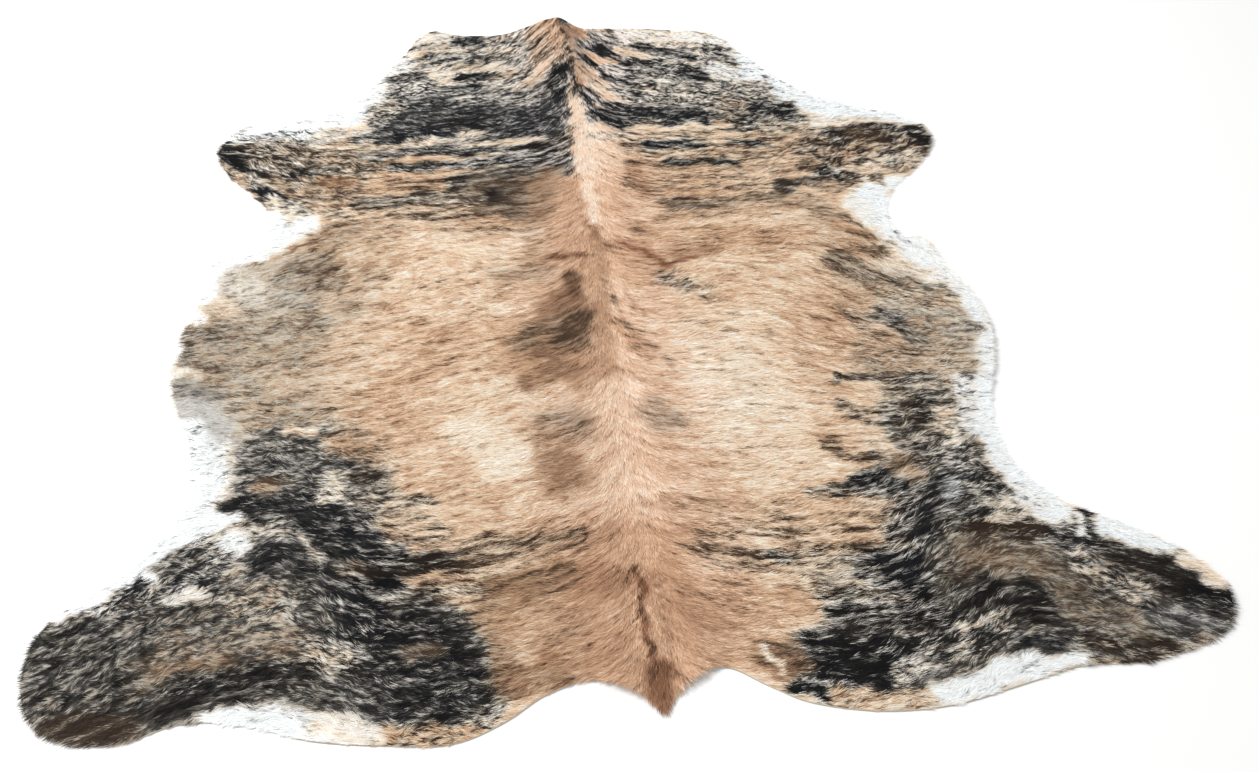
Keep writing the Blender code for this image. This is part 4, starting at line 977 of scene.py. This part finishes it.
LIGHT_HAIR = (
    (0.00, sheet_colour(250, 253, 253)),
    (0.10, sheet_colour(250, 246, 240)),
    (0.24, sheet_colour(245, 233, 211)),
    (0.34, sheet_colour(242, 223, 196)),
    (0.44, sheet_colour(239, 212, 184)),
    (0.54, sheet_colour(225, 190, 155)),
    (0.66, sheet_colour(204, 166, 132)),
    (0.78, sheet_colour(182, 141, 110)),
    (0.90, sheet_colour(160, 116, 86)),
    (1.00, sheet_colour(148, 98, 70)),
)
DARK_HAIR = (
    (0.00, sheet_colour(30, 33, 40)),
    (0.30, sheet_colour(16, 16, 17)),
    (0.45, sheet_colour(36, 29, 25)),
    (0.60, sheet_colour(56, 43, 34)),
    (0.80, sheet_colour(80, 61, 46)),
    (1.00, sheet_colour(98, 71, 53)),
)
# What is left of the light hair's colour where smoke is full, and by the spine, where pink skin shows.
SMOKED = (0.42, 0.41, 0.39, 1.0)
BLUSH = (1.0, 0.970, 0.997, 1.0)

# How often each kind of noise repeats in a metre, out along the hair and across it.
WIDE_STREAKS = (7.0, 42.0, 0.0)
MIDDLE_STREAKS = (17.0, 102.0, 0.0)
FINE_STREAKS = (50.0, 255.0, 0.0)
DOTS = (116.0, 120.0, 0.0)
KNOTS = (26.0, 46.0, 0.0)
CLOUDS = (6.0, 9.0, 0.0)
SWAYS = 14.0  # how many times a metre the streaks sway
SWAY = 0.026  # how far they sway, in metres
CONTRAST = 4.0  # how hard the pattern parts dark from light
DARK_FROM, DARK_FULL = 0.30, 0.74  # the levels at which hair starts to darken, and is fully dark
OWN_SHADE = 0.46  # how far a single lock may differ from its streak


def add(tree, kind, **settings):
    """A new node in the tree, with its settings, and with its inputs set or linked by name."""
    inputs = settings.pop("inputs", {})
    node = tree.nodes.new(kind)
    for name, value in settings.items():
        setattr(node, name, value)
    for name, value in inputs.items():
        socket = node.inputs[name]
        if isinstance(value, bpy.types.NodeSocket):
            tree.links.new(value, socket)
        else:
            socket.default_value = value
    return node


def new_group(name, kind, inputs, outputs):
    """A node group. Its inputs are (name, socket type, default), and its outputs (name, socket type)."""
    group = bpy.data.node_groups.new(name, kind)
    for title, socket_type, *default in inputs:
        socket = group.interface.new_socket(title, in_out="INPUT", socket_type=socket_type)
        if default:
            socket.default_value = default[0]
    for title, socket_type in outputs:
        group.interface.new_socket(title, in_out="OUTPUT", socket_type=socket_type)
    return group, group.nodes.new("NodeGroupInput"), group.nodes.new("NodeGroupOutput")


def calc(tree, operation, *values):
    """One step of arithmetic on numbers."""
    return add(tree, "ShaderNodeMath", operation=operation, inputs=dict(enumerate(values))).outputs[0]


def noise_at(tree, place, detail, roughness=0.5):
    """Plain noise, from about 0.2 to 0.8, whose scale is already in the place."""
    inputs = {"Vector": place, "Scale": 1.0, "Detail": detail, "Roughness": roughness}
    return add(tree, "ShaderNodeTexNoise", inputs=inputs).outputs["Fac"]


def scaled(tree, place, scale, offset=(0, 0, 0)):
    inputs = {0: place, 1: scale, 2: offset}
    return add(tree, "ShaderNodeVectorMath", operation="MULTIPLY_ADD", inputs=inputs).outputs[0]


def ramp(tree, value, stops):
    """A colour that follows a number through the stops."""
    node = add(tree, "ShaderNodeValToRGB", inputs={"Fac": value})
    elements = node.color_ramp.elements
    while len(elements) < len(stops):
        elements.new(0.5)
    for element, (position, colour) in zip(elements, stops):
        element.position = position
        element.color = colour
    return node.outputs["Color"]


def blend_colour(tree, share, first, second, blend_type="MIX"):
    node = add(tree, "ShaderNodeMix", data_type="RGBA", blend_type=blend_type)
    for name, value in (("Factor_Float", share), ("A_Color", first), ("B_Color", second)):
        socket = next(s for s in node.inputs if s.identifier == name)
        if isinstance(value, bpy.types.NodeSocket):
            tree.links.new(value, socket)
        else:
            socket.default_value = value
    return next(s for s in node.outputs if s.identifier == "Result_Color")


def stepped(tree, value, low, high, to_low=0.0, to_high=1.0):
    """The value's place between low and high, eased at both ends."""
    inputs = {"Value": value, "From Min": low, "From Max": high, "To Min": to_low, "To Max": to_high}
    return add(tree, "ShaderNodeMapRange", interpolation_type="SMOOTHSTEP", inputs=inputs).outputs["Result"]


def brindle_group():
    tree, given, result = new_group(
        "Brindle hair",
        "ShaderNodeTree",
        (
            ("Stream", "NodeSocketVector"),
            ("Place", "NodeSocketVector"),
            ("Dark share", "NodeSocketFloat", 0.2),
            ("Tone", "NodeSocketFloat", 0.5),
            ("Speckle", "NodeSocketFloat", 0.2),
            ("Smoke", "NodeSocketFloat", 0.0),
            ("Chance", "NodeSocketFloat", 0.5),
        ),
        (("Color", "NodeSocketColor"), ("Darkness", "NodeSocketFloat")),
    )
    given = given.outputs
    inputs = {"Vector": given["Place"], "Scale": SWAYS, "Detail": 2.0}
    slow = add(tree, "ShaderNodeTexNoise", inputs=inputs)
    sway = scaled(tree, slow.outputs["Color"], (0.0, SWAY, 0.0), (0.0, -SWAY / 2, 0.0))
    inputs = {0: given["Stream"], 1: sway}
    stream = add(tree, "ShaderNodeVectorMath", operation="ADD", inputs=inputs).outputs[0]
    wide = noise_at(tree, scaled(tree, stream, WIDE_STREAKS, (3.0, 1.0, 0.0)), 2.0)
    middle = noise_at(tree, scaled(tree, stream, MIDDLE_STREAKS, (0.0, 5.0, 4.0)), 2.0)
    fine = noise_at(tree, scaled(tree, stream, FINE_STREAKS, (9.0, 0.0, 8.0)), 1.0)
    dots = noise_at(tree, scaled(tree, stream, DOTS, (0.0, 2.0, 15.0)), 2.0, 0.65)
    knots = noise_at(tree, scaled(tree, stream, KNOTS, (6.0, 0.0, 11.0)), 1.0)
    clouds = noise_at(tree, scaled(tree, given["Place"], CLOUDS), 3.0)

    streaks = calc(tree, "MULTIPLY", fine, 0.26)
    streaks = calc(tree, "MULTIPLY_ADD", middle, 0.42, streaks)
    streaks = calc(tree, "MULTIPLY_ADD", wide, 0.32, streaks)
    spots = calc(tree, "MULTIPLY_ADD", calc(tree, "SUBTRACT", knots, 0.5), 0.55, dots)
    pattern = add(tree, "ShaderNodeMix", data_type="FLOAT")
    for index, value in ((0, given["Speckle"]), (2, streaks), (3, spots)):
        tree.links.new(value, pattern.inputs[index])
    share = given["Dark share"]
    level = calc(tree, "MULTIPLY_ADD", calc(tree, "SUBTRACT", pattern.outputs[0], 0.5), CONTRAST, share)
    jitter = calc(tree, "MULTIPLY", calc(tree, "SUBTRACT", given["Chance"], 0.5), OWN_SHADE)
    crisp = stepped(tree, calc(tree, "ADD", level, jitter), DARK_FROM, DARK_FULL)
    even = calc(tree, "MULTIPLY_ADD", calc(tree, "SUBTRACT", level, share), 0.5, share)
    darkness = add(tree, "ShaderNodeMix", data_type="FLOAT")
    for index, value in ((0, given["Smoke"]), (2, crisp), (3, even)):
        tree.links.new(value, darkness.inputs[index])
    darkness = darkness.outputs[0]

    warmth = calc(tree, "MULTIPLY", calc(tree, "SUBTRACT", clouds, 0.5), 0.50)
    for cause, effect in ((wide, 0.48), (middle, 0.94), (fine, 0.90), (given["Chance"], 0.40)):
        warmth = calc(tree, "MULTIPLY_ADD", calc(tree, "SUBTRACT", cause, 0.5), effect, warmth)
    calm = stepped(tree, given["Tone"], 0.50, 0.74, 1.0, 0.62)
    out = add(tree, "ShaderNodeSeparateXYZ", inputs={0: given["Stream"]}).outputs["X"]
    aside = calc(tree, "ABSOLUTE", out)
    calm = calc(tree, "MULTIPLY", calm, stepped(tree, aside, 0.02, 0.20, 0.62, 1.0))
    warmth = calc(tree, "MULTIPLY_ADD", warmth, calm, given["Tone"])
    warmth = calc(tree, "ADD", warmth, stepped(tree, share, 0.46, 0.70, 0.0, -0.10))
    warmth = calc(tree, "MAXIMUM", warmth, 0.14)
    keep_white = stepped(tree, given["Tone"], 0.00, 0.18)
    warmth = calc(tree, "MULTIPLY", warmth, keep_white)
    light = blend_colour(tree, given["Smoke"], ramp(tree, warmth, LIGHT_HAIR), SMOKED, "MULTIPLY")
    by_spine = stepped(tree, aside, 0.05, 0.24, 1.0, 0.0)
    light = blend_colour(tree, by_spine, light, BLUSH, "MULTIPLY")
    deep = ramp(tree, given["Tone"], DARK_HAIR)
    colour = blend_colour(tree, darkness, light, deep)
    tree.links.new(colour, result.inputs["Color"])
    tree.links.new(darkness, result.inputs["Darkness"])
    return tree


BRINDLE = brindle_group()
print(len(BRINDLE.nodes), "nodes in the brindle group")

# %% [markdown]
# ## Finishes
#
# Short cow hair is smooth and a little glossy, dark hair more so than light. Each lock's colour is painted
# darker at its root and lighter at its tip, as shade between the locks. The skin between the roots has the
# same colours, darkened as painted shade under the hair. The flesh side is suede: pale, matt, with a fine
# nap and cloudy patches where the tanning took unevenly.

# %% Hair, skin and suede
def number(tree, name, output="Fac"):
    return add(tree, "ShaderNodeAttribute", attribute_name=name).outputs[output]


def new_material(name):
    material = bpy.data.materials.new(name)
    material.use_nodes = True
    tree = material.node_tree
    return material, tree, tree.nodes["Principled BSDF"]


def brindle_colour(tree, place, chance):
    """The brindle group, fed from the piece's own numbers."""
    group = add(tree, "ShaderNodeGroup", node_tree=BRINDLE)
    links = {
        "Stream": number(tree, "stream", "Vector"),
        "Place": place,
        "Dark share": number(tree, "dark"),
        "Tone": number(tree, "tone"),
        "Speckle": number(tree, "speckle"),
        "Smoke": number(tree, "smoke"),
    }
    if chance is not None:
        links["Chance"] = chance
    for name, socket in links.items():
        tree.links.new(socket, group.inputs[name])
    return group.outputs


def hair_finish():
    material, tree, shader = new_material("brindle_hair")
    chance = number(tree, "chance")
    brindle = brindle_colour(tree, number(tree, "root", "Vector"), chance)
    # Painted shade: each lock is darker at its root, where the locks shade one another, and lighter towards
    # its tip; each lock also gets a random brightness of its own.
    shade = calc(tree, "MULTIPLY_ADD", number(tree, "tipward"), 0.26, 0.86)
    shade = calc(tree, "MULTIPLY", shade, calc(tree, "MULTIPLY_ADD", number(tree, "chance_two"), 0.22, 0.88))
    grey = add(tree, "ShaderNodeCombineColor", inputs={0: shade, 1: shade, 2: shade}).outputs[0]
    colour = blend_colour(tree, 1.0, brindle["Color"], grey, "MULTIPLY")
    tree.links.new(colour, shader.inputs["Base Color"])
    tree.links.new(stepped(tree, brindle["Darkness"], 0.0, 1.0, 0.62, 0.46), shader.inputs["Roughness"])
    shader.inputs["Specular IOR Level"].default_value = 0.08
    shader.inputs["Sheen Weight"].default_value = 0.02
    return material


def skin_finish():
    material, tree, shader = new_material("skin_under_hair")
    place = add(tree, "ShaderNodeTexCoord").outputs["Object"]
    brindle = brindle_colour(tree, place, None)
    # Painted shade: the skin takes the hair's colours, darkened as if shaded by the locks lying over it.
    colour = blend_colour(tree, 1.0, brindle["Color"], (0.80, 0.78, 0.76, 1.0), "MULTIPLY")
    tree.links.new(colour, shader.inputs["Base Color"])
    shader.inputs["Roughness"].default_value = 0.75
    return material


def suede_finish():
    material, tree, shader = new_material("suede")
    place = add(tree, "ShaderNodeTexCoord").outputs["Object"]
    clouds = noise_at(tree, scaled(tree, place, (5.0, 5.0, 5.0)), 4.0, 0.6)
    nap = noise_at(tree, scaled(tree, place, (900.0, 700.0, 900.0)), 3.0, 0.6)
    tone_of = calc(tree, "MULTIPLY_ADD", nap, 0.30, calc(tree, "MULTIPLY", clouds, 0.70))
    stops = (
        (0.30, sheet_colour(186, 170, 148)),
        (0.50, sheet_colour(208, 194, 172)),
        (0.72, sheet_colour(224, 214, 196)),
    )
    tree.links.new(ramp(tree, tone_of, stops), shader.inputs["Base Color"])
    bump = add(tree, "ShaderNodeBump", inputs={"Strength": 0.35, "Distance": 0.0006, "Height": nap})
    tree.links.new(bump.outputs["Normal"], shader.inputs["Normal"])
    shader.inputs["Roughness"].default_value = 0.92
    shader.inputs["Sheen Weight"].default_value = 0.10
    return material


brindle_hair, skin_under_hair, suede = hair_finish(), skin_finish(), suede_finish()
for finish in (skin_under_hair, suede):
    leather.data.materials.append(finish)
print("finishes:", ", ".join(m.name for m in (brindle_hair, skin_under_hair, suede)))

# %% [markdown]
# ## The coat
#
# A hair lock is the simplest blade there is: one slim triangle, as wide as a few hairs at its root and
# pointed at its tip. Geometry Nodes scatters points over the hair side, turns a blade at each point to lie
# along the stream, and gives each its own length, lift and turn. Nearly three quarters of a million blades
# cover the hide. Single hairs would be truer and far too many, and a bump map alone would leave the cut
# edge bare.

# %% One lock, and the tree that lays it
LOCK = 0.0165  # the length of a lock
LOCK_WIDTH = 0.0014
LOCK_TIP = 0.0008  # how high its tip stands
LENGTHS = (0.70, 1.25)  # the least and the most of its own length that a lock may have
WIDTHS = (0.65, 1.35)
HEIGHTS = (0.5, 1.4)
LIFTS = (-0.17, -0.01)  # the turn that raises a lock's tip off the skin, in radians
TUFTS = 34.0  # tufts in a metre, each turned its own way
WAVES = 9.0  # waves in a metre, over which the hair sways together
TUFT_TURN, SPECKLE_TURN, WAVE_TURN = 1.2, 3.0, 0.8  # how far they turn it, and how much more speckle does


def lock_mesh():
    """A lock along +X. Its points know how far towards the tip, and how far aside, they are."""
    half = LOCK_WIDTH / 2
    mesh = bpy.data.meshes.new("hair_lock")
    mesh.from_pydata([(0, -half, 0), (LOCK, 0, LOCK_TIP), (0, half, 0)], [], [(0, 1, 2)])
    mesh.update()
    add_numbers(mesh, "tipward", np.array([0.0, 1.0, 0.0]))
    add_numbers(mesh, "sideways", np.array([-0.5, 0.0, 0.5]))
    return mesh


def attribute_in(tree, name, kind="FLOAT"):
    node = add(tree, "GeometryNodeInputNamedAttribute", data_type=kind, inputs={"Name": name})
    return node.outputs["Attribute"]


def store(tree, geometry, name, value, kind="FLOAT"):
    inputs = {"Geometry": geometry, "Name": name, "Value": value}
    node = add(tree, "GeometryNodeStoreNamedAttribute", data_type=kind, domain="POINT", inputs=inputs)
    return node.outputs[0]


def chance_between(tree, low, high, seed, shift):
    """A random number for each point."""
    node = add(tree, "FunctionNodeRandomValue", data_type="FLOAT")
    for identifier, value in (("Min_001", low), ("Max_001", high)):
        next(s for s in node.inputs if s.identifier == identifier).default_value = value
    tree.links.new(calc(tree, "ADD", seed, float(shift)), node.inputs["Seed"])
    return next(s for s in node.outputs if s.identifier == "Value_001")


def coat_tree():
    tree, given, result = new_group(
        "Lay a coat",
        "GeometryNodeTree",
        (
            ("Skin", "NodeSocketGeometry"),
            ("Lock", "NodeSocketObject"),
            ("Hair", "NodeSocketMaterial"),
            ("Locks per square metre", "NodeSocketFloat", 100000.0),
            ("Seed", "NodeSocketInt", 0),
            ("Splay", "NodeSocketFloat", 0.30),
            ("Roll", "NodeSocketFloat", 0.30),
        ),
        (("Coat", "NodeSocketGeometry"),),
    )
    given = given.outputs
    seed = given["Seed"]
    scatter = add(
        tree,
        "GeometryNodeDistributePointsOnFaces",
        distribute_method="RANDOM",
        inputs={"Mesh": given["Skin"], "Density": given["Locks per square metre"], "Seed": seed},
    )
    place = add(tree, "GeometryNodeInputPosition").outputs[0]
    points = store(tree, scatter.outputs["Points"], "root", place, "FLOAT_VECTOR")
    points = store(tree, points, "chance", chance_between(tree, 0.0, 1.0, seed, 1))
    points = store(tree, points, "chance_two", chance_between(tree, 0.0, 1.0, seed, 2))

    facing = add(tree, "FunctionNodeAxesToRotation", primary_axis="Z", secondary_axis="X")
    tree.links.new(scatter.outputs["Normal"], facing.inputs[0])
    tree.links.new(attribute_in(tree, "lay", "FLOAT_VECTOR"), facing.inputs[1])
    tuft = noise_at(tree, scaled(tree, place, (TUFTS,) * 3), 1.0)
    wave = noise_at(tree, scaled(tree, place, (WAVES,) * 3, (5.0, 2.0, 0.0)), 0.0)
    speckle = attribute_in(tree, "speckle")
    curl = calc(tree, "MULTIPLY_ADD", speckle, SPECKLE_TURN, TUFT_TURN)
    turn = calc(tree, "MULTIPLY", calc(tree, "SUBTRACT", tuft, 0.5), curl)
    turn = calc(tree, "MULTIPLY_ADD", calc(tree, "SUBTRACT", wave, 0.5), WAVE_TURN, turn)
    stream = attribute_in(tree, "stream", "FLOAT_VECTOR")
    out = add(tree, "ShaderNodeSeparateXYZ", inputs={0: stream}).outputs["X"]
    smoother = stepped(tree, calc(tree, "ABSOLUTE", out), 0.0, 0.24, 0.50, 1.0)
    turn = calc(tree, "MULTIPLY", turn, smoother)
    own_turn = calc(tree, "MULTIPLY", chance_between(tree, -1.0, 1.0, seed, 3), given["Splay"])
    turn = calc(tree, "ADD", turn, own_turn)
    roll = calc(tree, "MULTIPLY", chance_between(tree, -1.0, 1.0, seed, 4), given["Roll"])
    depth = calc(tree, "MULTIPLY_ADD", attribute_in(tree, "depth"), 0.6, 0.4)
    lift = calc(tree, "MULTIPLY", chance_between(tree, *LIFTS, seed, 5), depth)
    own = add(tree, "ShaderNodeCombineXYZ", inputs={0: roll, 1: lift, 2: turn}).outputs[0]
    own = add(tree, "FunctionNodeEulerToRotation", inputs={0: own}).outputs[0]
    inputs = {"Rotation": facing.outputs[0], "Rotate By": own}
    turned = add(tree, "FunctionNodeRotateRotation", rotation_space="LOCAL", inputs=inputs).outputs[0]

    shorter = calc(tree, "MULTIPLY_ADD", speckle, -0.40, 1.0)
    length = calc(tree, "MULTIPLY", chance_between(tree, *LENGTHS, seed, 6), shorter)
    width = chance_between(tree, *WIDTHS, seed, 7)
    height = calc(tree, "MULTIPLY", chance_between(tree, *HEIGHTS, seed, 8), depth)
    size = add(tree, "ShaderNodeCombineXYZ", inputs={0: length, 1: width, 2: height}).outputs[0]
    lock = add(tree, "GeometryNodeObjectInfo", inputs={"Object": given["Lock"]}).outputs["Geometry"]
    inputs = {"Points": points, "Instance": lock, "Rotation": turned, "Scale": size}
    laid = add(tree, "GeometryNodeInstanceOnPoints", inputs=inputs).outputs[0]
    whole = add(tree, "GeometryNodeRealizeInstances", inputs={"Geometry": laid}).outputs[0]
    finished = add(tree, "GeometryNodeSetMaterial", inputs={"Geometry": whole, "Material": given["Hair"]})
    tree.links.new(finished.outputs[0], result.inputs[0])
    return tree


COAT = coat_tree()
hair_lock = object_of("hair_lock", lock_mesh())
hair_lock.hide_render = True
print("one lock has", len(hair_lock.data.polygons), "faces")

# %% [markdown]
# ## Laying the coat
#
# The coat is laid in four parts that meet without a line, because one mesh of all the locks would be slow
# to handle. Each part grows on its own share of the hair side. When a part is laid, its result is kept as
# a plain mesh, and the faces that it grew on are thrown away.

# %% Lay the four parts
LOCKS_PER_M2 = 230000
PARTS_MEET = 0.93  # how far along the spine the fore and hind parts meet
HAIR_PARTS = (  # a name, the side of the spine, and the end: 1 for fore and -1 for hind
    ("hair_fore_left", -1, 1),
    ("hair_fore_right", 1, 1),
    ("hair_hind_left", -1, -1),
    ("hair_hind_right", 1, -1),
)
CELL_MARGIN = 0.12  # of a cell of the flat map
HAIR_CLEAR = 0.0004  # how far hair at the rim stays above the floor


def split_in_four(triangles, count):
    """The pairs of points whose middles become new points, and the four small triangles for each triangle."""
    sides = np.sort(np.concatenate([triangles[:, [0, 1]], triangles[:, [1, 2]], triangles[:, [2, 0]]]), 1)
    pairs, which = np.unique(sides, axis=0, return_inverse=True)
    a, b, c = triangles.T
    ab, bc, ca = which.reshape(3, -1) + count
    small = ((a, ab, ca), (ab, b, bc), (ca, bc, c), (ab, bc, ca))
    return pairs, np.concatenate([np.stack(corners, 1) for corners in small])


def with_middles(values):
    return np.concatenate([values, values[pairs].mean(1)])


pairs, fine_faces = split_in_four(faces, len(places))
fine_points = with_middles(np.column_stack([places, heights + SKIN]))
fine_numbers = {name: with_middles(values) for name, values in coat_numbers().items()}
fine_chart = read_patches(*(fine_points[:, :2] + np.array(MIDDLE)).T)
fine_numbers |= dict(zip(("dark", "tone", "speckle", "smoke"), fine_chart))
print(len(fine_points), "places on the scalp")


def scalp(side, end):
    """The part of the hair side on one side of the spine, before or behind the place where the parts meet."""
    centre = fine_points[fine_faces].mean(1)[:, :2] + np.array(MIDDLE)
    chosen = fine_faces[(np.sign(centre[:, 0]) == side) & (np.sign(centre[:, 1] - PARTS_MEET) == end)]
    used, renumbered = np.unique(chosen, return_inverse=True)
    mesh = bpy.data.meshes.new("scalp")
    mesh.from_pydata(fine_points[used].tolist(), [], renumbered.reshape(-1, 3).tolist())
    mesh.update()
    for name, values in fine_numbers.items():
        add_numbers(mesh, name, values[used])
    return mesh


def vectors_of(mesh, name):
    values = np.zeros(len(mesh.vertices) * 3, np.float32)
    mesh.attributes[name].data.foreach_get("vector", values)
    return values.reshape(-1, 3)


def cells_of_locks(mesh):
    """A flat map with one square cell for each lock, in rows, so that neighbours stay neighbours."""
    root = vectors_of(mesh, "root")[::3, :2]
    count = len(root)
    side = int(np.ceil(np.sqrt(count)))
    row = np.empty(count, int)
    row[np.argsort(root[:, 1], kind="stable")] = np.arange(count) // side
    order = np.lexsort((root[:, 0], row))
    column = np.empty(count, int)
    column[order] = np.arange(count) % side
    corners = np.array([(CELL_MARGIN, CELL_MARGIN), (1 - CELL_MARGIN, 0.5), (CELL_MARGIN, 1 - CELL_MARGIN)])
    cells = np.stack([column, row], 1)[:, None] + corners
    return cells.reshape(-1, 2) / side


def keep_above_floor(mesh):
    """Hair at the rim rests on the floor and doesn't pass through it."""
    points = np.zeros(len(mesh.vertices) * 3, np.float32)
    mesh.vertices.foreach_get("co", points)
    points[2::3] = np.maximum(points[2::3], HAIR_CLEAR)
    mesh.vertices.foreach_set("co", points)


def lay_coat(name, side, end, seed):
    """Grows one part of the coat and keeps it as a plain mesh."""
    ground = object_of("scalp", scalp(side, end))
    grower = ground.modifiers.new("coat", "NODES")
    grower.node_group = COAT
    sockets = {s.name: s.identifier for s in COAT.interface.items_tree if s.in_out == "INPUT"}
    grower[sockets["Lock"]] = hair_lock
    grower[sockets["Hair"]] = brindle_hair
    grower[sockets["Locks per square metre"]] = float(LOCKS_PER_M2)
    grower[sockets["Seed"]] = seed
    graph = bpy.context.evaluated_depsgraph_get()
    mesh = bpy.data.meshes.new_from_object(ground.evaluated_get(graph))
    bpy.data.objects.remove(ground)
    mesh.name = name
    mesh.validate()
    keep_above_floor(mesh)
    add_flat_map(mesh, cells_of_locks(mesh))
    return object_of(name, mesh)


coat_parts = [lay_coat(name, side, end, 11 * i + 3) for i, (name, side, end) in enumerate(HAIR_PARTS)]
bpy.data.objects.remove(hair_lock)
for part in coat_parts:
    print(part.name, "has", len(part.data.polygons), "faces")

# %% [markdown]
# ## Joining the pieces
#
# The leather and the four parts of the coat are joined to the root body, and the CAD solid of the hide is
# hidden.

for part in coat_parts:
    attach(part, "root")
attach(leather, "root")
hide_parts("hide")

# %% [markdown]
# ## Floor, light and camera
#
# The floor is pale and plain, so that the hide's outline reads clearly. One large soft lamp and a bright
# even sky stand in for a studio. The camera looks down at the rug from beyond its tail end, as a person
# standing there would.

# %% The floor
FLOOR_HALF = 30.0
FLOOR_TOP = -0.0003  # just clear of the leather's flat face, so that the two don't flicker into each other
SIDES = ((-1, -1), (1, -1), (1, 1), (-1, 1))
floor_mesh = bpy.data.meshes.new("floor")
corners = [(x * FLOOR_HALF, y * FLOOR_HALF, FLOOR_TOP) for x, y in SIDES]
floor_mesh.from_pydata(corners, [], [(0, 1, 2, 3)])
floor_mesh.update()
floor_finish, _, floor_shader = new_material("pale_floor")
floor_shader.inputs["Base Color"].default_value = (0.90, 0.90, 0.895, 1.0)
floor_shader.inputs["Roughness"].default_value = 0.85
floor_shader.inputs["Specular IOR Level"].default_value = 0.2
floor_mesh.materials.append(floor_finish)
floor = object_of("floor", floor_mesh)

# %% The light
SKY_STRENGTH = 0.62
LAMP_PLACE = (-3.2, 1.6, 4.4)
LAMP_SIZE = 2.6
LAMP_WATTS = 330

scene = bpy.context.scene
sky = bpy.data.worlds.new("sky")
sky.use_nodes = True
sky.node_tree.nodes["Background"].inputs["Color"].default_value = (1.0, 1.0, 1.0, 1.0)
sky.node_tree.nodes["Background"].inputs["Strength"].default_value = SKY_STRENGTH
scene.world = sky


def soft_lamp(name, place, aim, size, watts):
    data = bpy.data.lights.new(name, "AREA")
    data.shape = "DISK"
    data.size = size
    data.energy = watts
    lamp = bpy.data.objects.new(name, data)
    lamp.location = place
    lamp.rotation_euler = (Vector(aim) - Vector(place)).to_track_quat("-Z", "Y").to_euler()
    scene.collection.objects.link(lamp)
    return lamp


soft_lamp("window_light", LAMP_PLACE, (0.0, 0.0, 0.0), LAMP_SIZE, LAMP_WATTS)
scene.view_settings.view_transform = "Standard"
print("light set")

# %% The camera
CAMERA_PLACE = (-0.1795, -2.4512, 2.20)
CAMERA_HEADING = (0.10216, 0.99477)
CAMERA_PITCH = math.radians(45.0)
CAMERA_LENS = 44.32

camera_data = bpy.data.cameras.new("camera")
camera_data.sensor_width = 36.0
camera_data.lens = CAMERA_LENS
camera = bpy.data.objects.new("camera", camera_data)
camera.location = CAMERA_PLACE
level = Vector((*CAMERA_HEADING, 0)) * math.cos(CAMERA_PITCH)
camera.rotation_euler = (level - Vector((0, 0, math.sin(CAMERA_PITCH)))).to_track_quat("-Z", "Y").to_euler()
scene.collection.objects.link(camera)
scene.camera = camera
print("camera set")
